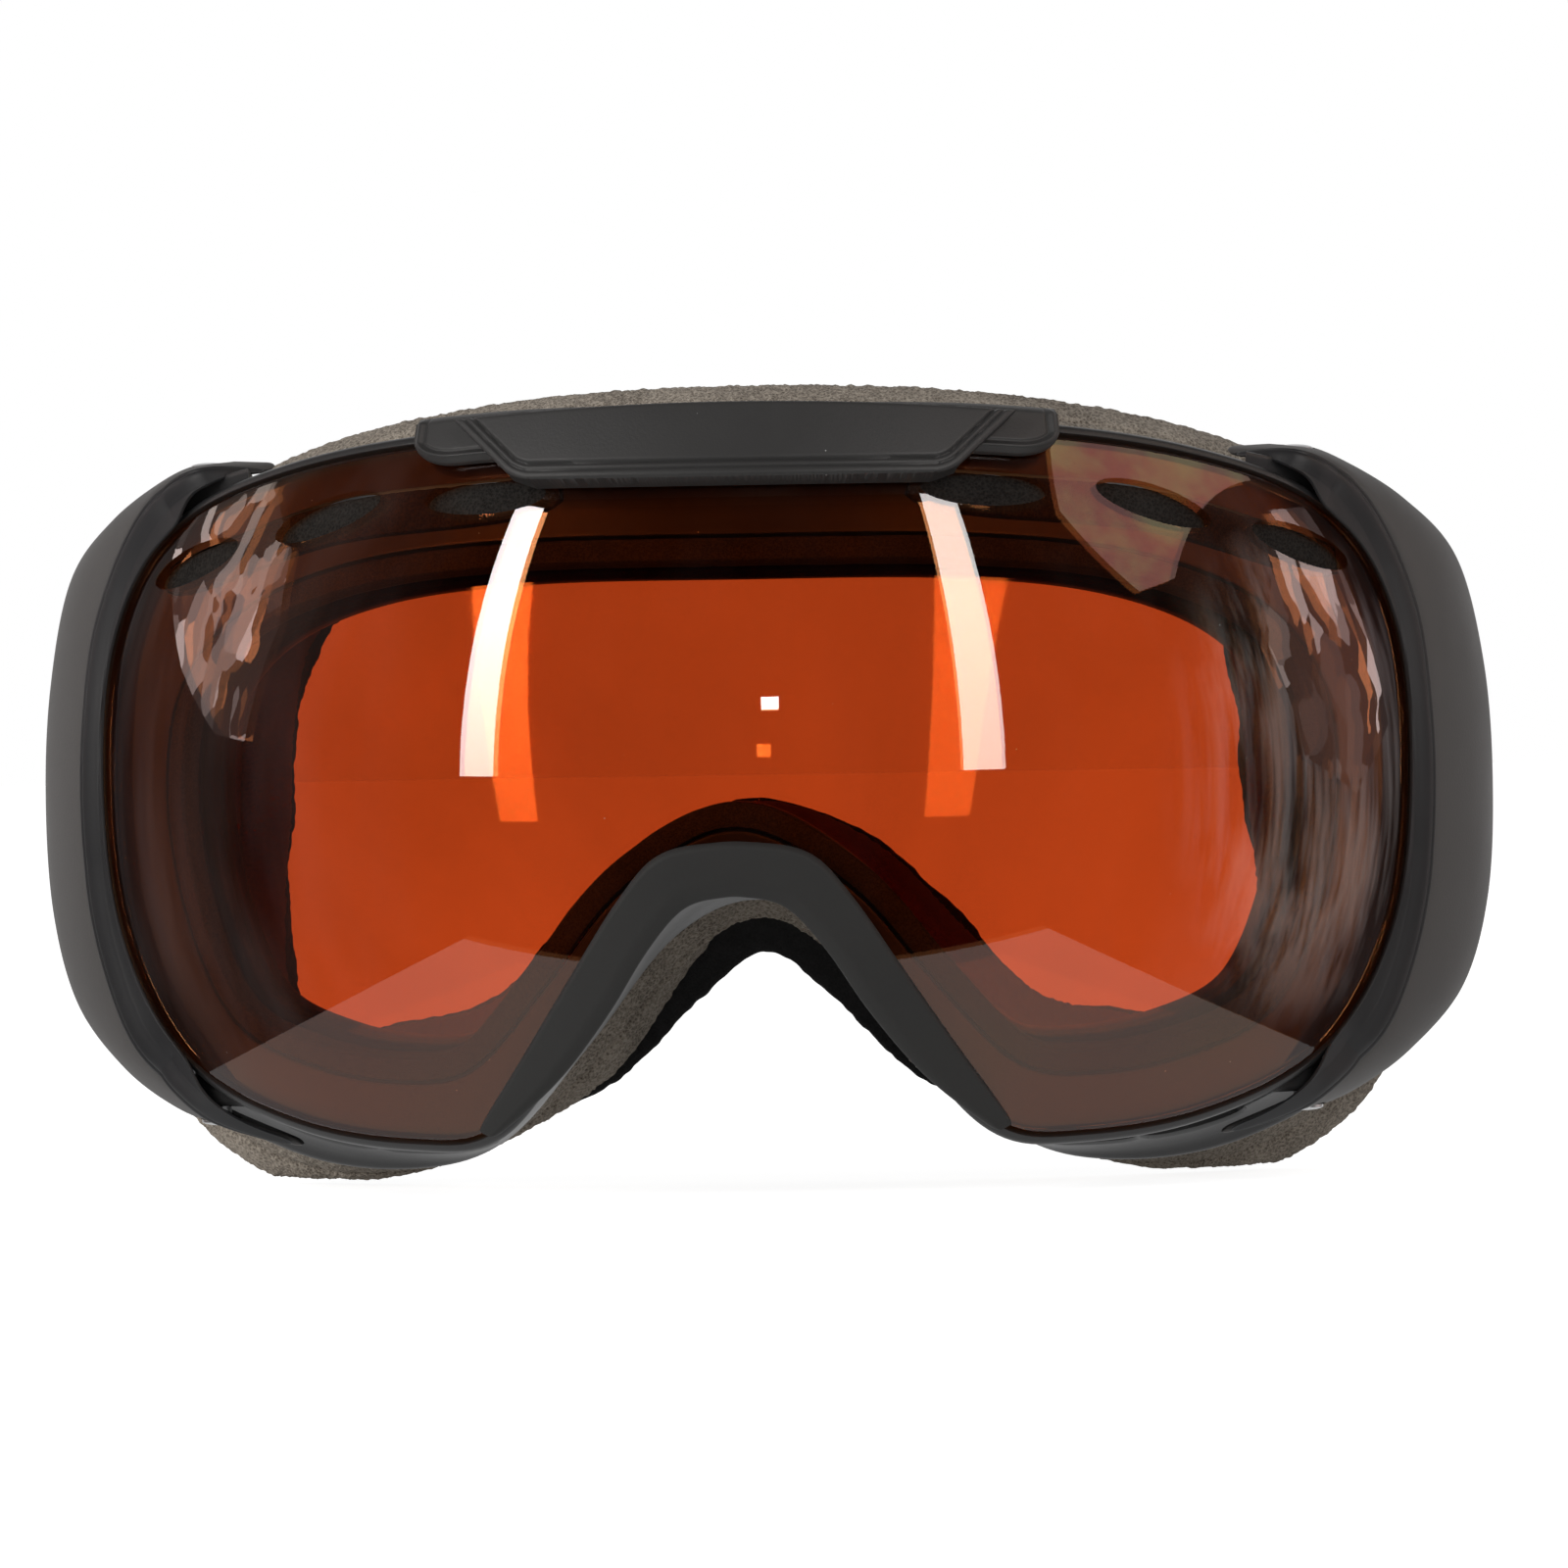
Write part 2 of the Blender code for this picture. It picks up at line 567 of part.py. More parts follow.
def build_frame(finishes):
    at = station_samples()
    rim_inner = EDGE_FIT
    rim_outer = EDGE_FIT + RIM_WIDTH
    land = OUTER_LENS + STACK_FIT
    ledge = land + SPACER + INNER_LENS + GASKET + 3 * STACK_FIT
    under_land = land + FRAME_WALL
    corners = (
        edge(LENS, at, rim_inner, 0.1 * MM),
        edge(LENS, at, rim_outer - RIM_CHAMFER, 0.1 * MM),
        wall(at, 0.0),
        wall(at, 0.4),
        wall(at, 0.72),
        wall(at, 0.9),
        flange(at, 0.0, FRAME_WALL),
        flange(at, 0.0, 0.0),
        flange(at, 0.5, 0.0),
        flange(at, 1.0, 0.0),
        flange(at, 1.0, FRAME_WALL),
        wall(at, 0.88, FRAME_WALL),
        wall(at, 0.72, FRAME_WALL),
        wall(at, 0.4, FRAME_WALL),
        wall(at, 0.2, FRAME_WALL),
        edge(LENS, at, -0.3 * MM, under_land),
        edge(SEAT, at, FRAME_WALL, under_land),
        edge(SEAT, at, FRAME_WALL, ledge + FRAME_WALL),
        edge(SEAT, at, -LEDGE_WIDTH, ledge + FRAME_WALL),
        edge(SEAT, at, -LEDGE_WIDTH, ledge),
        edge(SEAT, at, 0.0, ledge),
        edge(SEAT, at, 0.0, land),
        edge(LENS, at, rim_inner, land),
    )
    frame = ring("frame_shell", corners, finishes["frame_plastic"])

    bosses, bores = [], []
    for side in (-1, 1):
        for foot, up in pivot_feet(side):
            bosses.append(cylinder_points(foot, (0, 0, up), BOSS_RADIUS, -BOSS_HEIGHT, 0))
            bores.append(
                cylinder_points(foot, (0, 0, up), PIN_RADIUS + FIT, 0.8 * MM - BOSS_HEIGHT, 1 * MM)
            )
    combine(frame, helper("pivot_bosses", bosses), "UNION")
    combine(frame, helper("pivot_bores", bores), "DIFFERENCE")

    top, below = vent_windows()
    windows = [window(number, 0.56, 0.82, FRAME_WALL + WINDOW_PAST) for number in top]
    windows += [window(number, 0.3, 0.7, FRAME_WALL + WINDOW_PAST) for number in below]
    combine(frame, helper("frame_windows", windows), "DIFFERENCE")
    slots = [
        sweep_points(vent_strip(side, EDGE_FIT, land - 1 * MM, under_land + 0.7 * MM))
        for side in (-1, 1)
    ]
    combine(frame, helper("lens_vent_slots", slots), "DIFFERENCE")
    return [frame]


def build_vent_foams(finishes):
    land = OUTER_LENS + STACK_FIT
    parts = []
    for side, name in ((-1, "lens_vent_foam_right"), (1, "lens_vent_foam_left")):
        strip = vent_strip(side, 0.0, land, land + VENT_FOAM)
        parts.append(swept(name, strip, finishes["vent_foam"], False))
    top, below = vent_windows()
    reach = 0.5
    strips = (
        ("vent_foam_top", top[0] - 0.45, top[-1] + 0.45, 0.5, 0.86, 25),
        ("vent_foam_bottom_left", below[0] - reach, below[1] + reach, 0.3, 0.74, 15),
        ("vent_foam_bottom_right", below[3] - reach, below[2] + reach, 0.3, 0.74, 15),
    )
    for name, first, last, share_from, share_to, count in strips:
        at = np.linspace(first, last, count)
        near = FRAME_WALL + FIT + 0.3 * MM
        far = near + 2.0 * MM
        middle = (share_from + share_to) / 2
        corners = (
            wall(at, share_from, near),
            wall(at, middle, near),
            wall(at, share_to, near),
            wall(at, share_to, far),
            wall(at, middle, far),
            wall(at, share_from, far),
        )
        parts.append(swept(name, np.stack(corners, axis=1), finishes["vent_foam"], False))
    return parts


# ---- Face foam ---------------------------------------------------------------
def build_face_foam(finishes):
    at = station_samples()
    parts = []

    def level_curve(level, back, outer_out=0.0, inner_in=0.0):
        outer, inner = foam_ring(at, outer_out, inner_in, level)
        ahead = foam_depth() - back
        outer[:, 1] = np.maximum(outer[:, 1], 0.0)
        return on_face(outer, ahead), on_face((outer + inner) / 2, ahead), on_face(inner, ahead)

    base_back = FIT + BASE_FOAM
    soft_front = base_back + LAYER_FIT
    soft_back = soft_front + SOFT_FOAM
    fleece_front = soft_back + LAYER_FIT
    fleece_back = fleece_front + FLEECE
    base = [level_curve(0.0, FIT), level_curve(0.35, base_back)]
    soft = [
        level_curve(0.38, soft_front, 0.2 * MM),
        level_curve(0.8, (soft_front + soft_back) / 2, FOAM_BULGE, -FOAM_BULGE),
        level_curve(1.0, soft_back, -0.4 * MM),
    ]
    fleece = [
        level_curve(1.0, fleece_front, -0.8 * MM, -0.2 * MM),
        level_curve(1.0, (fleece_front + fleece_back) / 2, -0.8 * MM, -0.2 * MM),
        level_curve(1.0, fleece_back, -2.6 * MM, 2.0 * MM),
    ]
    for name, levels, finish in (
        ("face_foam_base", base, "base_foam"),
        ("face_foam_soft", soft, "soft_foam"),
        ("face_fleece", fleece, "fleece"),
    ):
        curves = [outer for outer, _, _ in levels]
        curves += [levels[-1][1]]
        curves += [inner for _, _, inner in reversed(levels)]
        curves += [levels[0][1]]
        parts.append(ring(name, curves, finishes[finish]))
    return parts


# ---- Nose trim ---------------------------------------------------------------
def build_nose_trim(finishes):
    """A band over the lens's nose edge, hooked back under the nose arch."""
    scale = front_scale()
    rows = []
    half = np.linspace(0, len(TRIM_OUTER) - 1, 17)
    for side in (-1, 1):
        numbers = half[::-1] if side < 0 else half[1:]
        outer = spline(TRIM_OUTER, numbers) * scale * (side, 1)
        lower = spline(TRIM_LOWER, numbers) * scale * (side, 1)
        hook = np.clip(1.6 - numbers * 2, 0, 1)
        for o, w, deep in zip(outer, lower, hook):
            across = w - o
            rows.append(
                [
                    on_lens((o + across * share)[None], depth)[0]
                    for share, depth in (
                        (0.0, -0.35 * MM),
                        (0.0, -0.75 * TRIM_THICK),
                        (0.09, -TRIM_THICK - 0.3 * MM),
                        (0.76, -TRIM_THICK - 0.45 * MM),
                        (0.86, -TRIM_THICK - 0.15 * MM),
                        (1.0, -0.6 * TRIM_THICK),
                        (1.0, -0.35 * MM + TRIM_HOOK * deep),
                        (0.9, -0.35 * MM + TRIM_HOOK * deep),
                        (0.85, -0.35 * MM),
                    )
                ]
            )
    return [swept("nose_trim", rows, finishes["trim_plastic"], False)]


# ---- Lens latch --------------------------------------------------------------
def build_latch(finishes):
    """The tray that holds the lens's top edge, and the bar that slides up on it."""
    cover = TRAY_BEAD + 0.4 * MM
    tray_lift = FIT + TRAY_PLATE
    rows = []
    half_x = np.array([0, 9, 18, 25.9, 27.6, 28.4, 33, 36.2, 37.2, 37.8, 38.3, 38.5]) / 38.5
    for x in np.concatenate([-half_x[:0:-1], half_x]) * TRAY_HALF:
        away = abs(x) / TRAY_HALF
        tab = np.clip((away - 0.675) / 0.04, 0, 1)
        corner = np.clip((away - 0.86) / 0.14, 0, 1)
        drop = TRAY_DROP * tab * (1 - (1 - math.sqrt(1 - min(corner, 0.999) ** 2)) * 0.93)
        end_bead = TRAY_BEAD if away > 0.975 else 0.0
        bead = max(TRAY_BEAD * tab, end_bead)
        here = np.array([station_at(x)])
        top = EDGE_FIT + RIM_WIDTH + FIT
        section = [
            edge(LENS, here, -drop, -FIT),
            edge(LENS, here, -drop, -tray_lift - 0.4 * bead),
            edge(LENS, here, -drop + 0.35 * MM, -tray_lift - bead),
            edge(LENS, here, -drop + 0.9 * MM, -tray_lift - bead),
            edge(LENS, here, -drop + 1.25 * MM, -tray_lift - end_bead),
            edge(LENS, here, top, -tray_lift - end_bead),
            edge(LENS, here, top + TRAY_PLATE, -0.6 * MM),
            wall(here, 0.34, -FIT - TRAY_PLATE),
            wall(here, 0.34, -FIT),
            edge(LENS, here, top, -FIT),
        ]
        rows.append([point[0] for point in section])
    tray = swept("clip_tray", rows, finishes["clip_plastic"], False)

    bar_back = tray_lift + cover
    bar_front = bar_back + BAR_PLATE
    top_z = chart(LENS, np.array([0.0]))[0, 1] + EDGE_FIT + RIM_WIDTH + 0.2 * MM
    # share of the way down the bar, and how far its front stands off the lens there
    levels = (
        (0.0, bar_back + 0.35 * BAR_PLATE),
        (0.07, bar_front - 0.1 * MM),
        (0.42, bar_front),
        (0.78, bar_front),
        (0.80, bar_front - 0.4 * MM),
        (0.83, bar_front - 0.4 * MM),
        (0.85, bar_front + 0.1 * MM),
        (0.95, bar_front),
        (1.0, bar_front - 0.5 * MM),
    )
    rows = []
    half_u = np.array([0, 0.2, 0.4, 0.6, 0.8, 0.925, 0.935, 0.955, 0.965, 0.99, 1.0])
    groove = {0.935: -0.4 * MM, 0.955: -0.4 * MM, 1.0: -0.5 * MM}
    for u in np.concatenate([-half_u[:0:-1], half_u]):
        crown = BAR_CROWN * u * u
        dip = groove.get(round(abs(float(u)), 3), 0.0)

        def place(share, lift):
            x = u * (BAR_TOP_HALF + (BAR_BOTTOM_HALF - BAR_TOP_HALF) * share)
            z = top_z - crown * (1 - share) - BAR_HEIGHT * share
            return on_lens(np.array([[x, z]]), -lift)[0]

        front = [place(share, max(lift + dip, bar_back + 0.4 * MM)) for share, lift in levels]
        back = [
            place(1.0, FIT + 0.1 * MM),
            place(1.0 - BAR_LIP / BAR_HEIGHT, FIT + 0.1 * MM),
            place(1.0 - BAR_LIP / BAR_HEIGHT, bar_back),
            place(0.45, bar_back),
            place(0.0, bar_back),
        ]
        rows.append(front + back)
    bar = swept("clip_bar", rows, finishes["clip_plastic"], False, 24)
    return [tray, bar]


# ---- Outriggers --------------------------------------------------------------
def arm_surface(numbers):
    """Front edge, widest line and rear edge of the left outrigger, with its ears in place."""
    upper, lower = pivot_heights()
    high, low = upper + FIT + EAR_THICK, lower - FIT - EAR_THICK
    across, up = front_scale()
    rails = []
    bevels = ((ARM_FRONT_EDGE, EAR_BEVEL), (ARM_WIDEST, 0.0), (ARM_REAR_EDGE, EAR_BEVEL / 2))
    for table, bevel in bevels:
        rail = np.array(table) * (across, across, up)
        rail[:2, :2] += pivot_place()
        rail[2:-2, 1] += side_depth()
        rail[-2:, :2] += pivot_place()
        rail[:2, 2] += high - bevel
        rail[-2, 2] = low + bevel
        rail[-1, 2] = low - TONGUE_DROP
        rails.append(spline(rail, numbers))
    return rails


def arm_sections():
    """Outer and inner faces of the arm, as rows of points across it."""
    last = len(ARM_WIDEST) - 1
    ears = np.linspace(0, 1.5, 6)[:-1]
    numbers = np.concatenate([ears, np.linspace(1.5, last - 1.5, ARM_SAMPLES), last - ears[::-1]])
    front, widest, rear = arm_surface(numbers)
    shares = np.array([0.0, 0.07, 0.2, 0.35, 0.5, 0.65, 0.82, 1.0])
    grid = []
    for share in shares:
        a = (share - 0.5) * (share - 1) * 2
        b = share * (1 - share) * 4
        c = share * (share - 0.5) * 2
        grid.append(front * a + widest * b + rear * c)
    grid = np.stack(grid, axis=1)
    along = np.gradient(grid, axis=0)
    across = np.gradient(grid, axis=1)
    normal = np.cross(across, along)
    normal /= np.linalg.norm(normal, axis=2)[:, :, None]
    if normal[len(normal) // 2, 4, 0] < 0:
        normal = -normal
    thick = ARM_FRONT + (ARM_THICK - ARM_FRONT) * np.clip(shares / 0.35, 0, 1)
    tip = np.clip(np.minimum(numbers, last - numbers) / 1.2, 0, 1)[:, None]
    thick = np.minimum(thick[None], 1.2 * MM + 1.0 * MM * tip)
    inner = grid - normal * thick[:, :, None]
    return grid, inner


def edging_sections(numbers_from, numbers_to):
    """Soft edging between the arm's front edge and the lens, as rows of points."""
    numbers = np.linspace(numbers_from, numbers_to, 21)
    front, _, _ = arm_surface(numbers)
    centre = sphere_centre()
    out = front - centre
    out /= np.linalg.norm(out, axis=1)[:, None]
    ahead = np.gradient(out, axis=0)
    ahead /= np.linalg.norm(ahead, axis=1)[:, None]
    inward = np.cross(ahead, out)
    if inward[len(inward) // 2, 0] > 0:
        inward = -inward
    taper = np.clip(np.minimum(numbers - numbers_from, numbers_to - numbers) / EDGE_TAPER, 0, 1)[:, None]
    width = EDGE_WIDTH * (0.35 + 0.65 * taper)
    height = EDGE_HEIGHT * (0.5 + 0.5 * taper)
    gap = FIT * (2.5 - 1.5 * taper)
    low = FIT + 0.25 * MM + EDGE_LIFT * (1 - taper)
    shape = (
        (0.0, 0.0), (0.0, 0.75), (0.1, 1.0), (0.3, 1.0),
        (0.42, 0.62), (0.9, 0.3), (1.0, 0.15), (1.0, 0.0),
    )
    rows = []
    for share, rise in shape:
        place = out * (LENS_RADIUS + low + height * rise) + inward * (gap + width * share)
        rows.append(centre + place)
    return np.stack(rows, axis=1)


def mirrored(sections, side):
    return sections if side > 0 else sections * (-1, 1, 1)


def build_outriggers(finishes, hinges):
    outer, inner = arm_sections()
    sections = np.concatenate([outer, inner[:, ::-1]], axis=1)
    edging = edging_sections(1.5, len(ARM_WIDEST) - 2.5)
    middle = len(ARM_WIDEST) // 2
    furthest = arm_surface([middle])[2][0]
    parts = []
    for side, name in ((1, "left"), (-1, "right")):
        arm = swept(f"outrigger_{name}", mirrored(sections, side), finishes["arm_plastic"], False)
        cutters = []
        for foot, up in pivot_feet(side):
            cutters.append(sweep_points(turned(foot, up, ear_cut_profile())))
        combine(arm, helper(f"pivot_holes_{name}", cutters), "DIFFERENCE")
        combine(arm, helper(f"strap_slot_{name}", [strap_slot(side, furthest)]), "DIFFERENCE")
        soft = swept(f"outrigger_edge_{name}", mirrored(edging, side), finishes["arm_rubber"], False)
        for obj in (arm, soft):
            obj.parent = hinges[side]
            obj.location = -hinges[side].location
            parts.append(obj)
        for (foot, up), level in zip(pivot_feet(side), ("upper", "lower")):
            parts.append(pivot_pin(f"pivot_pin_{level}_{name}", foot, up, finishes["steel"]))
    return parts


def strap_slot(side, furthest):
    """A block with rounded ends that cuts the strap slot, ahead of the arm's rear edge."""
    x, y, slot_z = furthest
    rear = y - STRAP_BAR
    front = rear - STRAP_SLOT_WIDTH
    half = STRAP_SLOT_HEIGHT / 2
    middle = (front + rear) / 2
    turns = np.linspace(0, math.pi, 9)
    radius = STRAP_SLOT_WIDTH / 2
    upper = [(middle + radius * math.cos(a), slot_z + half - radius + radius * math.sin(a)) for a in turns]
    lower = [(middle - radius * math.cos(a), slot_z - half + radius - radius * math.sin(a)) for a in turns]
    reach = 4 * ARM_THICK
    sections = [[(side * (x + out), y, z) for y, z in upper + lower] for out in (-reach, reach)]
    return sweep_points(sections)


def turned(foot, up, profile):
    """Circles of a shape turned about a pivot's axis, from pairs of radius and height."""
    turns = np.linspace(0, 2 * math.pi, 16, endpoint=False)
    return [
        [(foot[0] + r * math.cos(a), foot[1] + r * math.sin(a), foot[2] + up * h) for a in turns]
        for r, h in profile
    ]


def ear_cut_profile():
    """What an ear leaves free: its boss, the pin's shaft and the pin's head."""
    seat = EAR_THICK - PIN_HEAD
    return (
        (BOSS_RADIUS + 2 * FIT, -BOSS_HEIGHT),
        (BOSS_RADIUS + 2 * FIT, FIT),
        (PIN_RADIUS + 0.35 * MM, FIT),
        (PIN_RADIUS + 0.35 * MM, seat),
        (PIN_HEAD_RADIUS + 0.35 * MM, seat),
        (PIN_HEAD_RADIUS + 0.35 * MM, EAR_THICK + 2 * MM),
    )


def pivot_pin(name, foot, up, finish):
    """A headed pin: its shaft in the frame's boss and its head sunk in the ear."""
    seat = FIT + EAR_THICK - PIN_HEAD
    profile = (
        (PIN_RADIUS, 1.1 * MM - BOSS_HEIGHT),
        (PIN_RADIUS, seat),
        (PIN_HEAD_RADIUS, seat),
        (PIN_HEAD_RADIUS, seat + 0.7 * PIN_HEAD),
        (0.8 * PIN_HEAD_RADIUS, seat + PIN_HEAD),
    )
    return swept(name, turned(foot, up, profile), finish, False)


# ---- Assembly ----------------------------------------------------------------
def clear_scene():
    for obj in list(bpy.data.objects):
        bpy.data.objects.remove(obj, do_unlink=True)


def empty_at(name, place, parent=None):
    empty = bpy.data.objects.new(name, None)
    empty.location = place
    empty.parent = parent
    empty.empty_display_size = 0.01
    bpy.context.scene.collection.objects.link(empty)
    return empty


def make_finishes():
    return {
        "tinted_lens": finish_of("tinted_lens", (0.62, 0.09, 0.01), 0.04, 0.0, 0.9),
        "clear_lens": finish_of("clear_lens", (0.75, 0.5, 0.38), 0.05, 0.0, 0.9),
        "frame_plastic": finish_of("frame_plastic", (0.022, 0.022, 0.022), 0.45),
        "trim_plastic": finish_of("trim_plastic", (0.035, 0.035, 0.034), 0.6),
        "clip_plastic": finish_of("clip_plastic", (0.037, 0.037, 0.036), 0.55),
        "arm_plastic": finish_of("arm_plastic", (0.075, 0.072, 0.070), 0.62),
        "arm_rubber": finish_of("arm_rubber", (0.03, 0.031, 0.033), 0.5),
        "seal_foam": finish_of("seal_foam", (0.02, 0.019, 0.018), 0.9),
        "vent_foam": finish_of("vent_foam", (0.018, 0.017, 0.016), 0.95),
        "base_foam": finish_of("base_foam", (0.12, 0.10, 0.085), 0.95),
        "soft_foam": finish_of("soft_foam", (0.17, 0.145, 0.12), 0.95),
        "fleece": finish_of("fleece", (0.012, 0.012, 0.012), 1.0),
        "steel": finish_of("steel", (0.55, 0.55, 0.55), 0.3, 1.0),
    }


def centre_on_base(root, parts):
    """Moves the whole object so that its box stands on the origin, centred over it."""
    bpy.context.view_layer.update()
    graph = bpy.context.evaluated_depsgraph_get()
    low, high = np.full(3, np.inf), np.full(3, -np.inf)
    for obj in parts:
        shape = obj.evaluated_get(graph)
        mesh = shape.to_mesh()
        points = np.array([shape.matrix_world @ v.co for v in mesh.vertices])
        low, high = np.minimum(low, points.min(axis=0)), np.maximum(high, points.max(axis=0))
        shape.to_mesh_clear()
    root.location = (-(low[0] + high[0]) / 2, -(low[1] + high[1]) / 2, -low[2])


def main():
    clear_scene()
    finishes = make_finishes()
    root = empty_at("goggles_origin", (0, 0, 0))
    hinges = {
        side: empty_at(f"outrigger_hinge_{name}", (side * pivot_place()[0], pivot_place()[1], 0), root)
        for side, name in ((1, "left"), (-1, "right"))
    }
    parts = build_frame(finishes)
    parts += build_lenses(finishes)
    parts += build_vent_foams(finishes)
    parts += build_face_foam(finishes)
    parts += build_nose_trim(finishes)
    parts += build_latch(finishes)
    parts += build_outriggers(finishes, hinges)
    for obj in list(bpy.data.objects):
        if obj.parent is None and obj is not root:
            obj.parent = root
    centre_on_base(root, parts)


main()
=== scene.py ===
import math

import bpy
import numpy as np
from mathutils import Matrix, Vector


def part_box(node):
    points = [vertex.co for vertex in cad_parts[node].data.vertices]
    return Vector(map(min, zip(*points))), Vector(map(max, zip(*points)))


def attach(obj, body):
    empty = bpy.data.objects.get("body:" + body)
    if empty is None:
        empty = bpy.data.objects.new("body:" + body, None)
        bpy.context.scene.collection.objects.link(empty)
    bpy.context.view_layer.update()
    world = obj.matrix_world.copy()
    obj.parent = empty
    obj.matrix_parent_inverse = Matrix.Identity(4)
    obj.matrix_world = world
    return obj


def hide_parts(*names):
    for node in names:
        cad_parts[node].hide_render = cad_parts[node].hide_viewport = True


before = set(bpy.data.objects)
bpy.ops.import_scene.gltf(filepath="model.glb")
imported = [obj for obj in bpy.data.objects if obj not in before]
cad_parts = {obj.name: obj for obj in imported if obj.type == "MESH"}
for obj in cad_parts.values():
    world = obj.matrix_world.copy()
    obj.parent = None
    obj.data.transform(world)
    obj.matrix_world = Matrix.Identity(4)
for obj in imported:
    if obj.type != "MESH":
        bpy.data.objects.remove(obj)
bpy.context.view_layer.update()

# ---- Camera ----
# A long lens nearly straight on to the front of the goggles: 3.4 degrees round towards the
# wearer's left, 1 degree above the horizon, and held nearly a degree off level.
def placed(name, data):
    """A new object in the scene, from its data."""
    obj = bpy.data.objects.new(name, data)
    bpy.context.scene.collection.objects.link(obj)
    return obj


camera_data = bpy.data.cameras.new("camera")
camera_data.lens = 285.9
camera_data.sensor_width = 36.0
camera = placed("camera", camera_data)
bpy.context.scene.camera = camera

turn, rise, roll = math.radians(3.447), math.radians(1.0), math.radians(-0.951)
distance, to_side, to_top = 1.5, 0.00425, 0.00077
aim = Vector((0.0, -0.0134, 0.048))
back = Vector((math.sin(turn) * math.cos(rise), -math.cos(turn) * math.cos(rise), math.sin(rise)))
right = (-back).cross(Vector((0, 0, 1))).normalized()
up = right.cross(-back)
across = math.cos(roll) * right + math.sin(roll) * up
upward = -math.sin(roll) * right + math.cos(roll) * up
place = aim + back * distance + across * to_side + upward * to_top
camera.matrix_world = Matrix.Translation(place) @ Matrix((across, upward, back)).transposed().to_4x4()


# ---- Studio: white paper, room and lamps ----
# The goggles stand on a sheet of white paper in a dim room. Two tall softboxes stand ahead of
# them, one on each side, with a small flash over the camera and a fill lamp for one side.
def feed(made, sockets):
    """Sets a node's inputs to numbers, to colours, or to the outputs of other nodes."""
    for key, value in sockets.items():
        socket = made.inputs[key]
        if isinstance(value, bpy.types.Node):
            value = value.outputs[0]
        if isinstance(value, bpy.types.NodeSocket):
            made.id_data.links.new(value, socket)
        else:
            socket.default_value = (*value, 1) if socket.type == "RGBA" else value


def node(tree, kind, sockets=None, **settings):
    """A shader node with its settings and its inputs."""
    made = tree.nodes.new("ShaderNode" + kind)
    for key, value in settings.items():
        setattr(made, key, value)
    feed(made, sockets or {})
    return made


def calc(tree, operation, *values):
    """One step of arithmetic on numbers or outputs."""
    return node(tree, "Math", dict(enumerate(values)), operation=operation).outputs[0]


def fitted(tree, value, low, high, to_low=0.0, to_high=1.0):
    """A value carried from one range to another and held inside it."""
    ends = {"Value": value, "From Min": low, "From Max": high, "To Min": to_low, "To Max": to_high}
    return node(tree, "MapRange", ends).outputs[0]


def between(tree, share, first, second):
    """The number a share of the way from the first to the second."""
    return node(tree, "Mix", {0: share, 2: first, 3: second}, data_type="FLOAT").outputs[0]


def mixed(tree, share, first, second, how="MIX"):
    """The first colour with a share of the second over it, or multiplied by it."""
    return node(tree, "Mix", {0: share, 6: first, 7: second}, data_type="RGBA", blend_type=how).outputs[2]


def clouds(tree, at, scale, detail=2.0, rough=0.5, bent=0.0):
    """Fractal noise with this many blotches to a metre."""
    look = {"Vector": at, "Scale": scale, "Detail": detail, "Roughness": rough, "Distortion": bent}
    return node(tree, "TexNoise", look)


def cells_of(tree, at, scale):
    """A Voronoi pattern's distance to the middle of each cell, and the cell's own number."""
    cells = node(tree, "TexVoronoi", {"Vector": at, "Scale": scale})
    return cells.outputs["Distance"], node(tree, "SeparateColor", {0: cells.outputs["Color"]})


def ray_kinds(tree):
    """1 on glossy rays, and 1 on rays straight from the camera or through clear pieces."""
    path = node(tree, "LightPath")
    direct = calc(tree, "MAXIMUM", path.outputs["Is Camera Ray"], path.outputs["Is Transmission Ray"])
    return path.outputs["Is Glossy Ray"], direct


def new_finish(name, clear=False):
    """A new material, its tree, emptied if asked, and the place that its patterns read."""
    material = bpy.data.materials.new(name)
    material.use_nodes = True
    tree = material.node_tree
    if clear:
        tree.nodes.clear()
    return material, tree, node(tree, "TexCoord").outputs["Object"]


FLOOR_DROP, FLOOR_HALF, SHEET_HALF, SHEET_FRONT = 0.0005, 3.0, 0.098, -0.095
floor_mesh = bpy.data.meshes.new("floor")
floor_corners = [(x * FLOOR_HALF, y * FLOOR_HALF, -FLOOR_DROP) for x, y in ((-1, -1), (1, -1), (1, 1), (-1, 1))]
floor_mesh.from_pydata(floor_corners, [], [(0, 1, 2, 3)])
floor = placed("floor", floor_mesh)

paper, tree, at = new_finish("paper", clear=True)
where = node(tree, "SeparateXYZ", {"Vector": at})
across_sheet = calc(tree, "LESS_THAN", calc(tree, "ABSOLUTE", where.outputs["X"]), SHEET_HALF)
on_sheet = calc(tree, "MULTIPLY", across_sheet, calc(tree, "GREATER_THAN", where.outputs["Y"], SHEET_FRONT))
glossy, direct = ray_kinds(tree)
matt = node(tree, "BsdfDiffuse", {"Color": (0.8, 0.8, 0.8)})
bounce = node(tree, "Emission", {"Color": (1, 0.97, 0.93), "Strength": 0.09})
glow = node(tree, "Emission", {"Color": (1, 1, 1), "Strength": 0.86})
sheet_glow = node(tree, "Emission", {"Color": (1, 1, 1), "Strength": 0.8})
lit = node(tree, "AddShader", {0: matt, 1: bounce})
lit = node(tree, "MixShader", {0: glossy, 1: lit, 2: node(tree, "BsdfTransparent")})
lit = node(tree, "MixShader", {0: calc(tree, "MULTIPLY", on_sheet, glossy), 1: lit, 2: sheet_glow})
lit = node(tree, "MixShader", {0: direct, 1: lit, 2: node(tree, "AddShader", {0: matt, 1: glow})})
node(tree, "OutputMaterial", {"Surface": lit})
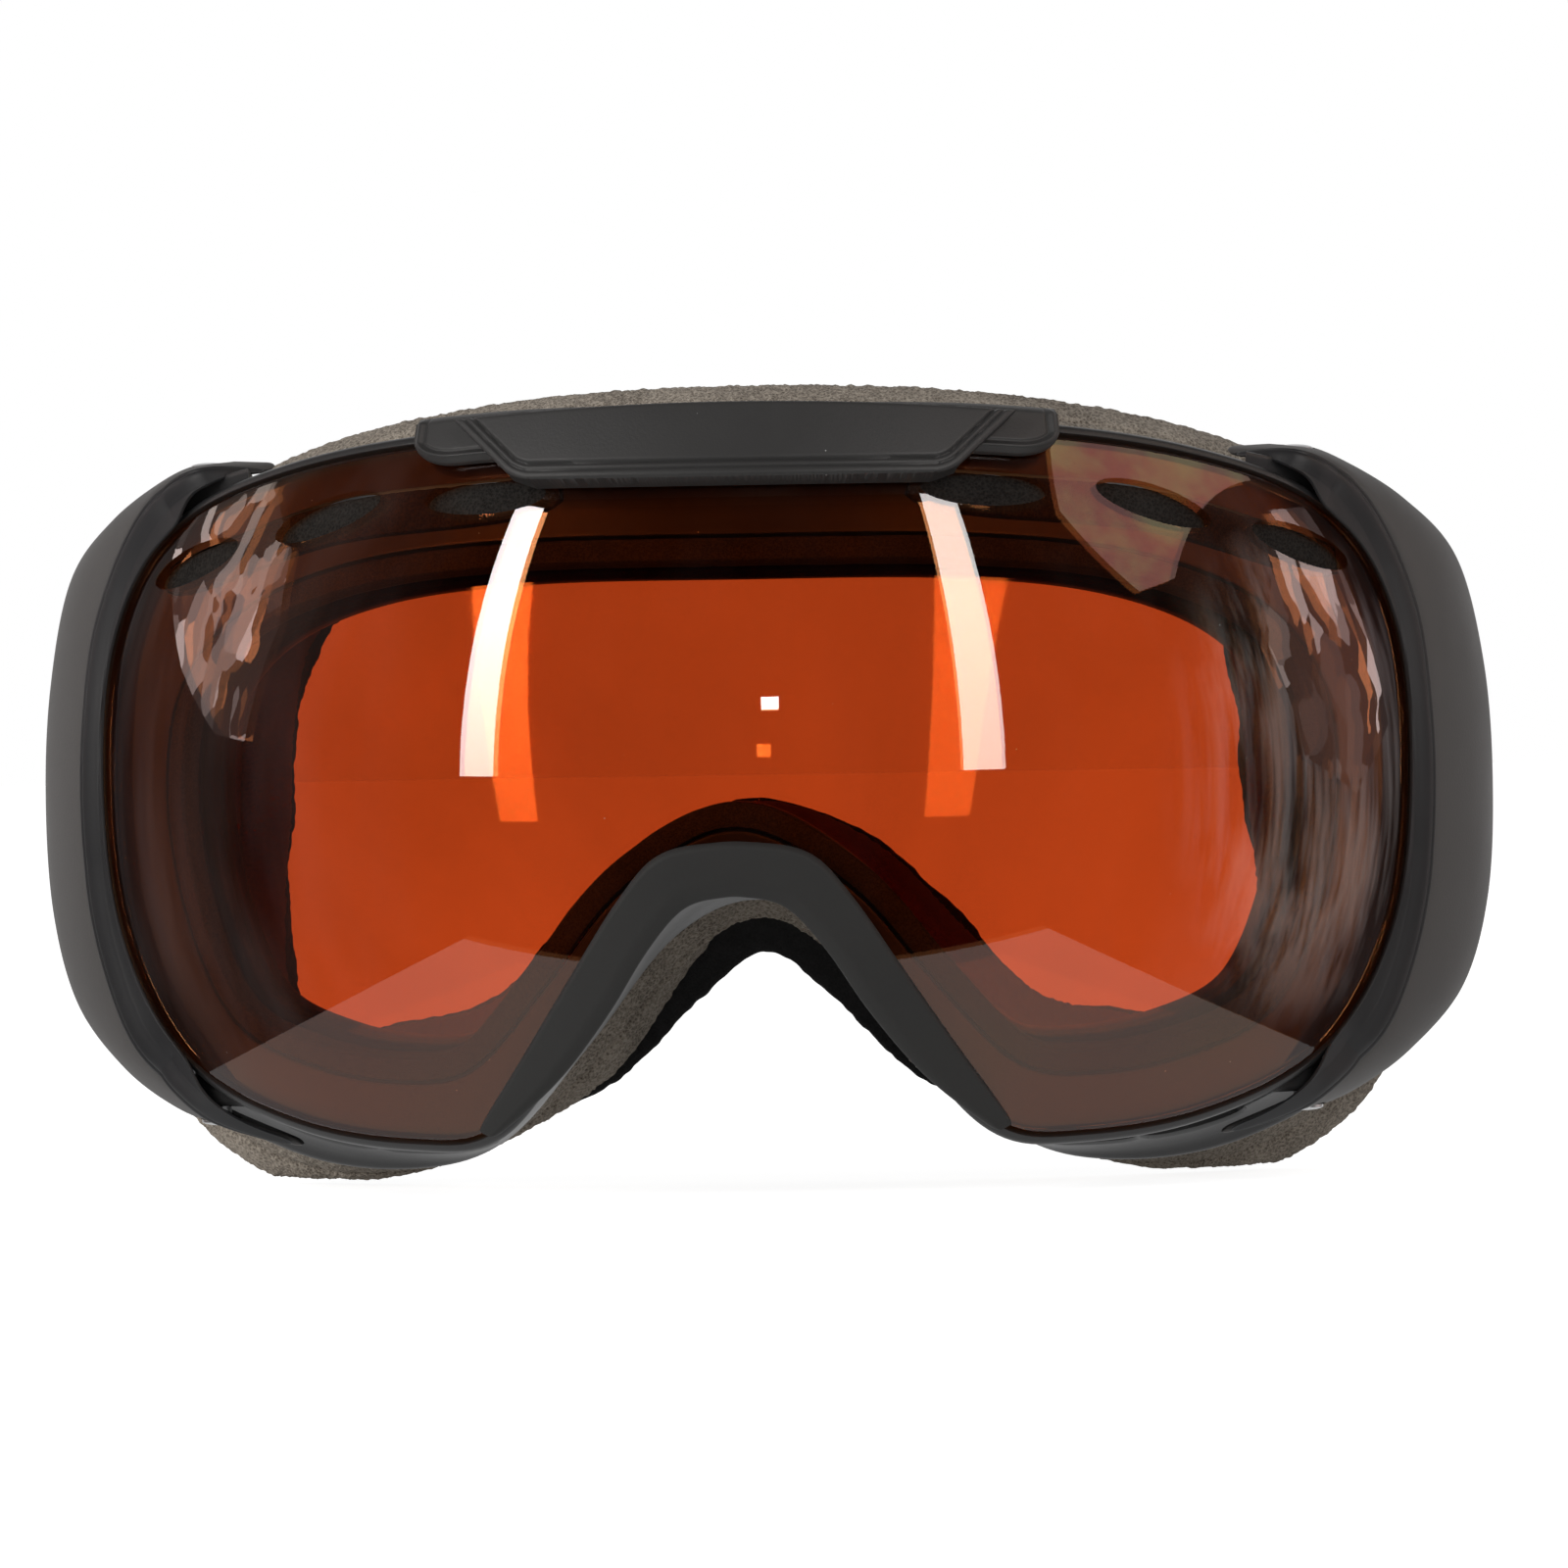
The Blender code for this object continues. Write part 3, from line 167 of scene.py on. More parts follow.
floor_mesh.materials.append(paper)

world = bpy.data.worlds.new("studio")
world.use_nodes = True
tree = world.node_tree
tree.nodes.clear()
direction = node(tree, "TexCoord").outputs["Generated"]
heading = node(tree, "SeparateXYZ", {"Vector": direction})
aside, ahead, above = (heading.outputs[axis] for axis in "XYZ")


def within(across, corners):
    """1 inside a convex polygon and 0 outside: a point is inside when it lies to the left of
    each edge, where the cross product of the edge and the way to the point is over 0."""
    share = 1.0
    for (a, b), (c, d) in zip(corners, corners[1:] + corners[:1]):
        part = calc(tree, "MULTIPLY_ADD", above, c - a, (d - b) * a - (c - a) * b)
        left = calc(tree, "GREATER_THAN", calc(tree, "MULTIPLY_ADD", across, b - d, part), 0.0)
        share = calc(tree, "MULTIPLY", left, share)
    return share


def noise(scale, stretch, low, high, to_low, to_high, seed=0.0):
    """Noise on a direction stretched up and down, carried from one range to another."""
    turned = node(tree, "Mapping", {"Vector": direction, "Scale": (1, 1, stretch), "Location": (seed, seed, 0)})
    return fitted(tree, clouds(tree, turned, scale, 3.0, 0.6), low, high, to_low, to_high)


# Dim walls, with upright streaks far to the right, darker behind the camera.
walls, streaks = noise(5.0, 0.25, 0.4, 0.7, 0.07, 0.33), noise(16.0, 0.1, 0.42, 0.6, 0.15, 1.5, 3.0)
room = between(tree, fitted(tree, aside, 0.88, 0.96), walls, streaks)
room = calc(tree, "MULTIPLY", room, fitted(tree, ahead, -0.6, -0.05, 0.06, 1.0))
room = mixed(tree, 1.0, (1, 0.88, 0.86), room, "MULTIPLY")
# Crumpled clear film at each side: facets that each catch the light differently.
crumple = clouds(tree, direction, 7.0).outputs["Color"]
long = node(tree, "Mapping", {"Vector": direction, "Scale": (1, 1, 0.45)})
bent = node(tree, "VectorMath", {0: crumple, 1: (0.12, 0.12, 0.12), 2: long}, operation="MULTIPLY_ADD")
shine = calc(tree, "POWER", cells_of(tree, bent, 17.0)[1], 5.0)
film = mixed(tree, 1.0, (1, 0.8, 0.76), fitted(tree, shine, 0.0, 1.0, 0.42, 6.5), "MULTIPLY")
left_film = within(ahead, [
    (-0.09, 0.09), (0.08, 0.1), (0.2, 0.19), (0.37, 0.28), (0.38, 0.41), (0.12, 0.52), (-0.07, 0.44), (-0.13, 0.31)
])
right_film = within(ahead, [
    (0.17, -0.04), (0.31, 0.07), (0.26, 0.36), (0.23, 0.44), (0.1, 0.47), (-0.09, 0.27), (-0.02, 0.03)
])
left_film = calc(tree, "MULTIPLY", left_film, calc(tree, "LESS_THAN", aside, -0.7))
right_film = calc(tree, "MULTIPLY", right_film, calc(tree, "GREATER_THAN", aside, 0.7))
room = mixed(tree, calc(tree, "MAXIMUM", left_film, right_film), room, film)
# A cloth with a purple and green sheen, high on the right, and bright paper behind.
sheen = mixed(tree, noise(6.0, 1.0, 0.42, 0.6, 0.0, 1.0), (1.8, 0.95, 0.95), (2.1, 1.9, 1.2))
banner = within(aside, [(0.6, 0.74), (0.66, 0.6), (0.82, 0.41), (0.86, 0.42), (0.84, 0.57), (0.72, 0.69)])
room = mixed(tree, calc(tree, "MULTIPLY", banner, calc(tree, "LESS_THAN", ahead, 0.1)), room, sheen)
room = mixed(tree, fitted(tree, ahead, 0.5, 0.95), room, (1, 1, 1))
glossy, direct = ray_kinds(tree)
level = mixed(tree, direct, mixed(tree, glossy, (0.29, 0.29, 0.29), room), (1, 1, 1))
node(tree, "OutputWorld", {"Surface": node(tree, "Background", {"Color": level, "Strength": 1.0})})
bpy.context.scene.world = world


def lamp(name, turn, distance, low, high, width, radiance, colour=(1, 1, 1), foot=1.0):
    """A softbox at an angle round from the front, between two heights, facing the goggles,
    and dimmed to a share at its foot."""
    light = bpy.data.lights.new(name, "AREA")
    light.shape = "RECTANGLE"
    light.size, light.size_y = width, high - low
    light.energy = radiance * math.pi * light.size * light.size_y
    light.color = colour
    obj = placed(name, light)
    obj.location = (distance * math.sin(turn), -distance * math.cos(turn), (low + high) / 2)
    toward = Vector((0, 0, 0.05)) - obj.location
    toward.z *= 0.0 if high - low > 0.3 else 1.0
    obj.rotation_euler = toward.to_track_quat("-Z", "Y").to_euler()
    light.use_nodes = True
    tree = light.node_tree
    place = node(tree, "SeparateXYZ", {"Vector": node(tree, "NewGeometry").outputs["Parametric"]})
    feed(tree.nodes["Emission"], {"Strength": fitted(tree, place.outputs["Y"], 0.0, 0.5, foot, 1.0)})
    return obj


lamp("softbox_right", math.radians(-42.5), 1.0, 0.083, 0.88, 0.094, 20.0, (1.0, 0.96, 0.93), 0.6)
lamp("softbox_left", math.radians(34), 1.0, 0.083, 0.98, 0.112, 11.5, (1.0, 0.96, 0.94), 0.8)
lamp("side_fill", math.radians(-78), 0.9, 0.03, 0.25, 0.25, 16.0).visible_glossy = False
lamp("flash", math.radians(2.1), 1.2, 0.294, 0.334, 0.055, 26.0)
bpy.context.scene.view_settings.view_transform = "Standard"


# ---- Frame shell ----
# One black nylon moulding: a rim and land for the outer lens, a ledge for the inner one, walls
# that flare back to a flange for the foam, vent windows, and bosses for the outrigger pins.
MM = 0.001
LENS_RADIUS = 95.0 * MM
LENS_CENTRE_Z = 48.0 * MM
HALF_WIDTH = 79.5 * MM
FACE_DEPTH, FACE_RADIUS, NOSE_REACH = 54.0 * MM, 112.0 * MM, 6.0 * MM
PIVOT_BEHIND = 1.0 * MM
FIT, EDGE_FIT, STACK_FIT = 0.3 * MM, 0.4 * MM, 0.45 * MM
OUTER_LENS, SPACER, INNER_LENS, GASKET = 1.4 * MM, 2.7 * MM, 1.2 * MM, 1.4 * MM
FRAME_WALL, RIM_WIDTH, LEDGE_WIDTH = 1.6 * MM, 1.25 * MM, 3.4 * MM
FLANGE_SHARE = 0.6
FOAM_DEPTH = 15.4 * MM
EAR_THICK, BOSS_RADIUS, BOSS_HEIGHT = 2.1 * MM, 3.1 * MM, 4.6 * MM

pin_low, pin_high = (np.array(corner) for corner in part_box("pivot_pin_upper_left"))
PIVOT = (pin_low + pin_high)[:2] / 2
SIDE_Y = PIVOT[1] - PIVOT_BEHIND
CENTRE = np.array([0.0, SIDE_Y + math.sqrt(LENS_RADIUS**2 - HALF_WIDTH**2), LENS_CENTRE_Z])
FRONT_Y = CENTRE[1] - LENS_RADIUS

# Matched points of the front outlines in millimetres, from the top of the centre line round
# the wearer's left side to the nose: lens edge, lens seat, flange, foam at the face, opening.
STATIONS = (
    ((0, 91.2), (0, 79.5), (0, 92.6), (0, 97.3), (0, 76.6)),
    ((30, 90.8), (28, 79.2), (31, 91.7), (31, 95.6), (26, 76.2)),
    ((54, 87.4), (48, 76.8), (56, 87.0), (57, 89.8), (44, 74)),
    ((70.5, 80.3), (62.5, 71), (72.5, 78.4), (74, 79), (55, 67.6)),
    ((78, 67), (70.5, 61.5), (79.5, 65), (81, 65), (58.2, 57.5)),
    ((79.5, 48), (72.5, 48), (81, 47), (82.3, 46), (59, 45)),
    ((77, 30), (70, 32.5), (78.8, 28), (80.3, 26), (60, 33)),
    ((69, 16), (64, 20), (71.5, 11.8), (73.8, 8.6), (59, 22.5)),
    ((55, 8.9), (53.5, 14.7), (58, 4), (61, -0.3), (50.5, 19)),
    ((40, 6.7), (42, 12.9), (43.5, 2.1), (49, 0.4), (41, 20.2)),
    ((30, 8.3), (33, 14.6), (31.5, 5.2), (33, 5.2), (33, 22.5)),
    ((19.8, 21.0), (23.2, 25.2), (20.6, 17.2), (18.6, 11.4), (24.5, 30.5)),
    ((10.4, 34.2), (13.6, 36.6), (10.3, 30), (8.6, 21.6), (14, 41)),
    ((0, 39.3), (0, 43.9), (0, 34.6), (0, 28.2), (0, 46.5)),
)
LENS, SEAT, FLANGE, FACE, OPENING = range(5)
TURN = 2 * (len(STATIONS) - 1)


def unit(rows):
    """Vectors scaled to a length of one."""
    return rows / np.maximum(np.linalg.norm(rows, axis=-1, keepdims=True), 1e-12)


def spline(points, at, closed=False):
    """A Catmull-Rom curve: a cubic on each span, whose slope at a point is half the step
    between that point's two neighbours."""
    points = np.asarray(points, float)
    at = np.atleast_1d(np.asarray(at, float))
    first = np.floor(at).astype(int)
    if not closed:
        first = np.clip(first, 0, len(points) - 2)
        points = np.vstack([points, 2 * points[-1] - points[-2], 2 * points[0] - points[1]])
    f = (at - first)[:, None]
    p0, p1, p2, p3 = (points[(first + k) % len(points)] for k in (-1, 0, 1, 2))
    return p1 + 0.5 * f * (p2 - p0 + f * (2 * p0 - 5 * p1 + 4 * p2 - p3 + f * (3 * (p1 - p2) + p3 - p0)))


def whole_outline(which):
    """Both halves of an outline as one closed row of points, in metres."""
    half = np.array([row[which] for row in STATIONS], float)
    return np.vstack([half, half[-2:0:-1] * (-1, 1)]) * MM


def blurred(rows, width):
    """Rows that go round a ring, each replaced by the mean of its neighbours under a bell
    curve of this many rows."""
    frequency = np.fft.rfftfreq(len(rows))[:, None]
    keep = np.exp(-0.5 * (2 * np.pi * frequency * width) ** 2)
    return np.fft.irfft(np.fft.rfft(rows, axis=0) * keep, len(rows), axis=0)


fine_at = np.linspace(0, TURN, 6001)
fine_line = spline(whole_outline(LENS), fine_at, True)
fine_length = np.concatenate([[0], np.cumsum(np.linalg.norm(np.diff(fine_line, axis=0), axis=1))])
ROUND = 1440
ring_at = np.interp(np.arange(ROUND) / ROUND * fine_length[-1], fine_length, fine_at)
smooth_lines = [blurred(spline(whole_outline(which), ring_at, True), 5.0) for which in range(5)]


def outline(which, at):
    """One of the front outlines as (x, z), at an array of station numbers once round."""
    number = np.interp(np.asarray(at) % TURN, np.append(ring_at, TURN), np.arange(ROUND + 1))
    return spline(smooth_lines[which], number, True)


def on_lens(xz, depth=0.0):
    """Points at (x, z) on the sphere of the lens's front, then moved in along its radius."""
    x, z = xz[..., 0], xz[..., 1] - LENS_CENTRE_Z
    spoke = np.stack([x, -np.sqrt(LENS_RADIUS**2 - x**2 - z**2), z], axis=-1)
    return CENTRE + spoke * (1 - np.asarray(depth) / LENS_RADIUS)[..., None]


def edge(which, at, out, depth):
    """An outline moved outwards along the lens's sphere, and in along its radius."""
    point = on_lens(outline(which, at)) - CENTRE
    ahead = unit(on_lens(outline(which, at + 0.01)) - on_lens(outline(which, at - 0.01)))
    moved = unit(point + np.cross(point / LENS_RADIUS, ahead) * np.reshape(out, (-1, 1)))
    return CENTRE + moved * (LENS_RADIUS - np.reshape(depth, (-1, 1)))


def on_face(xz, ahead):
    """Points at (x, z) this far in front of the wearer's face: a cylinder bent round the
    head, with a bell-shaped hollow beside the nose."""
    x, z = xz[:, 0], xz[:, 1]
    hollow = NOSE_REACH * np.exp(-((x / (27 * MM)) ** 2) - ((z - 22 * MM) / (24 * MM)) ** 2)
    y = FRONT_Y + FACE_DEPTH + FACE_RADIUS - np.sqrt(FACE_RADIUS**2 - x**2) + hollow - ahead
    return np.stack([x, y, z], axis=1)


def wall(at, share, inset=0.0):
    """The frame's side wall: the rim's edge (share 0) carried back to the flange's edge
    (share 1), flaring as 0.15 share + 0.85 share to the fourth."""
    share = np.reshape(share, (-1, 1))

    def line(at):
        front = edge(LENS, at, EDGE_FIT + RIM_WIDTH, 0.5 * MM)
        step = on_face(outline(FLANGE, at), FOAM_DEPTH) - front
        row = front + step * (0.15 * share + 0.85 * share**4)
        row[:, 1:2] = (front + step * share)[:, 1:2]
        return row

    ahead = line(at + 0.01) - line(at - 0.01)
    return line(at) - unit(np.stack([-ahead[:, 2], 0 * at, ahead[:, 0]], axis=1)) * inset


def flange(at, share, ahead):
    """The flange that carries the foam: share 0 is its outer edge and 1 its inner edge."""
    outer, inner = outline(FLANGE, at), outline(OPENING, at)
    return on_face(outer + (inner - outer) * FLANGE_SHARE * share, FOAM_DEPTH + ahead)


def rounded(corners, radii, steps=3):
    """Sections with round corners: each corner becomes a parabola that leaves its two sides
    at the corner's radius, in millimetres, and one more point keeps each side flat."""
    corners = np.stack(corners)
    before, after = np.roll(corners, 1, 0) - corners, np.roll(corners, -1, 0) - corners
    reach = [np.linalg.norm(side, axis=2, keepdims=True) for side in (before, after)]
    radius = np.minimum(np.reshape(radii, (-1, 1, 1)) * MM, 0.38 * np.minimum(*reach))
    start, end = corners + before / reach[0] * radius, corners + after / reach[1] * radius
    t = np.linspace(0, 1, steps + 1)[:, None, None, None]
    bend = (1 - t) ** 2 * start + 2 * t * (1 - t) * corners + t**2 * end
    holds = [(corners + (side - corners) * 1.25)[None] for side in (start, end)]
    rows = np.concatenate([holds[0], bend, holds[1]])
    return rows.transpose(2, 1, 0, 3).reshape(corners.shape[1], -1, 3)


def grid_faces(rows, columns, closed):
    """Quads that join each point of a grid to its neighbours, with flat ends unless closed."""
    i, k = np.meshgrid(np.arange(rows if closed else rows - 1), np.arange(columns), indexing="ij")
    j, m = (i + 1) % rows, (k + 1) % columns
    quads = np.stack([i * columns + k, i * columns + m, j * columns + m, j * columns + k], axis=-1)
    ends = [] if closed else [np.arange(columns)[::-1][None], (rows - 1) * columns + np.arange(columns)[None]]
    return [quads.reshape(-1, 4), *ends]


def shape(name, points, groups, finish, sharp=38):
    """An object from points and groups of faces, turned to face outwards: the volume that the
    faces enclose is the sum of each one's area times its distance from the origin, over 3."""
    corners = [points[group] for group in groups]
    areas = [np.cross(c, np.roll(c, -1, axis=1)).sum(axis=1) / 2 for c in corners]
    volume = sum((c.mean(axis=1) * area).sum() for c, area in zip(corners, areas))
    mesh = bpy.data.meshes.new(name)
    faces = [face for group in groups for face in (group if volume > 0 else group[:, ::-1]).tolist()]
    mesh.from_pydata(points.tolist(), [], faces)
    mesh.shade_smooth()
    mesh.set_sharp_from_angle(angle=math.radians(sharp))
    if finish is not None:
        mesh.materials.append(finish)
    return placed(name, mesh)


def skin(name, sections, finish=None, closed=False, sharp=38):
    """A solid from sections of shape (count, points, 3), in order along a path."""
    sections = np.asarray(sections, float)
    groups = grid_faces(sections.shape[0], sections.shape[1], closed)
    return shape(name, sections.reshape(-1, 3), groups, finish, sharp)


def cut(obj, cutters, operation="DIFFERENCE"):
    """Takes cutters away from a piece, or joins shapes to it, and keeps the result as its mesh."""
    for cutter in cutters:
        change = obj.modifiers.new("cut", "BOOLEAN")
        change.operation, change.object, change.solver = operation, cutter, "EXACT"
    bpy.context.view_layer.update()
    graph = bpy.context.evaluated_depsgraph_get()
    made = bpy.data.meshes.new_from_object(obj.evaluated_get(graph))
    obj.modifiers.clear()
    obj.data = made
    made.set_sharp_from_angle(angle=math.radians(38))
    for cutter in cutters:
        bpy.data.objects.remove(cutter, do_unlink=True)


def stand_in(obj, node_name, body="goggles"):
    """The piece takes a CAD node's place, on its body."""
    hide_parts(node_name)
    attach(obj, body)


def specks(tree, at, scale, least, size):
    """1 on round grains of this size: one in each cell of a Voronoi pattern whose random
    number is over the least."""
    away, number = cells_of(tree, at, scale)
    return calc(tree, "MULTIPLY", calc(tree, "GREATER_THAN", number, least), calc(tree, "LESS_THAN", away, size))


def finished(material, sockets, height, depth, strength=1.0):
    """The material with its shader's inputs set, and a bump of this depth in millimetres."""
    tree = material.node_tree
    bump = node(tree, "Bump", {"Height": height, "Strength": strength, "Distance": depth * MM})
    feed(tree.nodes["Principled BSDF"], {**sockets, "Normal": bump})
    return material


def moulded(name, colour, roughness, grain=0.33, depth=0.03, cloud=0.12, specular=0.5):
    """Moulded plastic: a spark-eroded grain of this size and depth in millimetres, a slow
    change of tone and gloss over the surface, and a few grains of dust."""
    material, tree, at = new_finish(name)
    slow = clouds(tree, at, 55.0, 4.0, 0.6)
    tone = mixed(tree, slow, [c * (1 - cloud) for c in colour], [c * (1 + cloud) for c in colour])
    look = {
        "Base Color": mixed(tree, specks(tree, at, 260.0, 0.8, 0.022), tone, (0.45, 0.45, 0.45)),
        "Roughness": fitted(tree, slow, 0.3, 0.7, roughness - 0.05, roughness + 0.05),
        "Specular IOR Level": specular,
    }
    return finished(material, look, clouds(tree, at, 1000.0 / grain), depth)


def stations_for(length, middle):
    """How many station numbers a length along the frame's wall takes up there."""
    ends = wall(np.array([middle - 0.1, middle + 0.1]), 0.6)
    return 0.2 * length / np.linalg.norm(ends[1] - ends[0])


def station_at(x):
    """The station numbers where the lens's top edge is at x, on either side."""
    numbers = np.linspace(0, 5, 501)
    return np.sign(x) * np.interp(np.abs(x), outline(LENS, numbers)[:, 0], numbers)


def power(u, exponent):
    """A sine or cosine raised to a power with its sign kept, as a superellipse needs."""
    return np.sign(u) * np.abs(u) ** exponent


def window(middle, share_from, share_to):
    """A plug through the wall with an oblong section, wider outside for a soft edge: a
    superellipse, the cosine of the angle to the power 0.36 and its sine to the power 0.5."""
    angle = np.linspace(0, 2 * np.pi, 56, endpoint=False)
    side, rise = power(np.cos(angle), 0.36), power(np.sin(angle), 0.5)
    half_long = stations_for(7.5 * MM, middle)
    mid, half_wide = (share_from + share_to) / 2, (share_to - share_from) / 2
    return skin("window_cutter", [
        wall(middle + side * half_long * (1 + grow * 0.6), mid + rise * half_wide * (1 + grow * 1.6), level * MM)
        for level, grow in ((-2.5, 0.09), (-0.2, 0.09), (0.25, 0.0), (3.0, 0.0))
    ])


HOLES = ((29.9, 83.9, 2.7), (49.7, 81.8, 18.5), (67.0, 76.5, 21.5))


def along_sphere(places, heading):
    """Unit vectors along the lens's sphere that look like the (x, z) headings from ahead."""
    normal = unit(places - CENTRE)
    rear = -(normal[:, 0] * heading[:, 0] + normal[:, 2] * heading[:, 1]) / normal[:, 1]
    return unit(np.stack([heading[:, 0], rear, heading[:, 1]], axis=1)), normal


def vent_strip(side, grow, front, rear, count=61):
    """The long vent slot under the lens holes on one side, or the foam that fills it."""
    numbers = np.linspace(-0.45, 2.3, count)
    middles = np.array([hole[:2] for hole in HOLES]) * MM * (side, 1)
    centre = on_lens(spline(middles, numbers))
    along, normal = along_sphere(centre, spline(middles, numbers + 0.01) - spline(middles, numbers - 0.01))
    crosswise = np.cross(normal, along)
    stretch = np.linspace(-1, 1, count)
    half = 2.7 * MM * (0.45 + 0.55 * np.clip(1 - np.abs(stretch) ** 7, 0, 1) ** 0.5) + grow
    centre = centre + along * (np.sign(stretch) * (np.abs(stretch) > 0.999) * grow)[:, None]
    return [
        CENTRE + unit(centre + crosswise * (half * way)[:, None] - CENTRE) * (LENS_RADIUS - depth)
        for way, depth in ((1, front), (-1, front), (-1, rear), (1, rear))
    ]


def turned(foot, up, profile, sides=48):
    """Circles turned about a pivot's axis, from pairs of radius and height."""
    angle = np.linspace(0, 2 * np.pi, sides, endpoint=False)
    radius, height = np.array(profile).T[:, :, None]
    flat = foot[:2] + radius[:, :, None] * np.stack([np.cos(angle), np.sin(angle)], axis=1)
    level = np.broadcast_to(foot[2] + up * height[:, :, None], flat.shape[:2] + (1,))
    return np.concatenate([flat, level], axis=2)


def pin_foot(level, side):
    """The end of a boss, which its pin's shaft passes: place, and which way it points."""
    low, high = (np.array(c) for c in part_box(f"pivot_pin_{level}_{'left' if side > 0 else 'right'}"))
    up = 1 if level == "upper" else -1
    tip = high[2] if up > 0 else low[2]
    return np.array([(low[0] + high[0]) / 2, (low[1] + high[1]) / 2, tip - up * (FIT + EAR_THICK)]), up


def saddle(foot, up, side):
    """The raised bed on the wall under an ear: flat under the boss's end, then sloping away."""
    at = np.linspace(2.36, 2.95, 25) if up > 0 else np.linspace(7.02, 7.58, 25)
    corners = [wall(at, 0.05, 0.8 * MM), wall(at, 0.42, 0.8 * MM), wall(at, 0.42), wall(at, 0.05)]
    for top in corners[2:]:
        away = np.hypot(top[:, 0] - foot[0] * side, top[:, 1] - foot[1])
        rise = 0.2 * np.clip(away - 2 * MM, 0, None) * (top[:, 0] < foot[0] * side) * (up > 0)
        fall = 0.75 * np.clip(top[:, 0] - 67.3 * MM, 0, None)
        top[:, 2] = foot[2] - up * (0.15 * MM + fall - rise)
    bed = rounded(corners, [0.1, 0.1, 0.6, 0.6]) * (side, 1, 1)
    return skin("saddle", bed)


LAND = OUTER_LENS + STACK_FIT
LEDGE = LAND + SPACER + INNER_LENS + GASKET + 3 * STACK_FIT
UNDER_LAND = LAND + FRAME_WALL
frame_plastic = moulded("frame_plastic", (0.021, 0.021, 0.0215), 0.42, depth=0.02)
at = ring_at[::3]
profile = (
    (edge(LENS, at, EDGE_FIT, 0.1 * MM), 0.2),
    (edge(LENS, at, EDGE_FIT + RIM_WIDTH - 0.5 * MM, 0.1 * MM), 0.25),
    *((wall(at, share), radius) for share, radius in ((0, 0.3), (0.2, 1), (0.4, 2), (0.6, 2), (0.74, 2), (0.88, 1))),
    (flange(at, 0.0, FRAME_WALL), 0.5),
    (flange(at, 0.0, 0.0), 0.4),
    (flange(at, 0.5, 0.0), 1.0),
    (flange(at, 1.0, 0.0), 0.4),
    (flange(at, 1.0, FRAME_WALL), 0.4),
    *((wall(at, share, FRAME_WALL), radius) for share, radius in ((0.88, 1), (0.72, 1), (0.4, 1), (0.2, 0.5))),
    (edge(LENS, at, -0.3 * MM, UNDER_LAND), 0.4),
    (edge(SEAT, at, FRAME_WALL, UNDER_LAND), 0.4),
    (edge(SEAT, at, FRAME_WALL, LEDGE + FRAME_WALL), 0.4),
    (edge(SEAT, at, -LEDGE_WIDTH, LEDGE + FRAME_WALL), 0.5),
    (edge(SEAT, at, -LEDGE_WIDTH, LEDGE), 0.4),
    (edge(SEAT, at, 0.0, LEDGE), 0.1),
    (edge(SEAT, at, 0.0, LAND), 0.3),
    (edge(LENS, at, EDGE_FIT, LAND), 0.1),
)
sections = rounded(*zip(*profile), steps=2)
shell = skin("frame_moulding", sections, frame_plastic, closed=True)
boss = ((3.1, -4.6), (3.1, -0.3), (2.95, -0.08), (2.75, 0.0))
bore = ((1.6, -3.8), (1.6, -0.25), (1.85, 0.02), (1.85, 1.0))
bosses, bores = [], []
for side in (-1, 1):
    for level in ("upper", "lower"):
        foot, up = pin_foot(level, side)
        bosses.append(saddle(foot, up, side))
        bosses.append(skin("boss", turned(foot, up, np.array(boss) * MM)))
        bores.append(skin("bore", turned(foot, up, np.array(bore) * MM)))
cut(shell, bosses, "UNION")
cut(shell, bores)
EYE_STATION, WINDOW_PITCH, LOWER_PITCH = 8.7, 23.0 * MM, 17.4 * MM
upper_windows = station_at(np.arange(-2, 3) * WINDOW_PITCH)
apart = stations_for(LOWER_PITCH, EYE_STATION)
eye_windows = np.array([EYE_STATION - apart / 2, EYE_STATION + apart / 2])
cutters = [window(number, 0.56, 0.82) for number in upper_windows]
cutters += [window(number, 0.3, 0.7) for number in (*eye_windows, *(TURN - eye_windows))]
for side in (-1, 1):
    slot = np.stack(vent_strip(side, EDGE_FIT, LAND - 1 * MM, UNDER_LAND + 0.7 * MM), axis=1)
    cutters.append(skin("slot", slot))
cut(shell, cutters)
stand_in(shell, "frame_shell")


# ---- Vent foams ----
# Thin black open-cell foam, cut in strips and glued inside the frame behind the lens holes
# and the windows, so that air passes and snow doesn't.
def roughened(sections, amount, size_rows, size_columns, seed, closed=True):
    """Each point of the sections moved along its normal by seeded noise times the amount in
    millimetres. The noise has a grain this many rows and columns across and a spread of one."""
    along = np.roll(sections, -1, 0) - np.roll(sections, 1, 0) if closed else np.gradient(sections, axis=0)
    normal = unit(np.cross(along, np.roll(sections, -1, 1) - np.roll(sections, 1, 1)))
    rows, columns = sections.shape[:2]
    field = np.random.default_rng(seed).normal(size=(rows, columns))
    down = np.fft.fftfreq(rows)[:, None] * size_rows
    across = np.fft.fftfreq(columns)[None] * size_columns
    field = np.fft.ifft2(np.fft.fft2(field) * np.exp(-2 * (np.pi**2) * (down**2 + across**2))).real
    return sections + normal * (np.clip(field / field.std(), -2.2, 2.2) * amount * MM)[:, :, None]


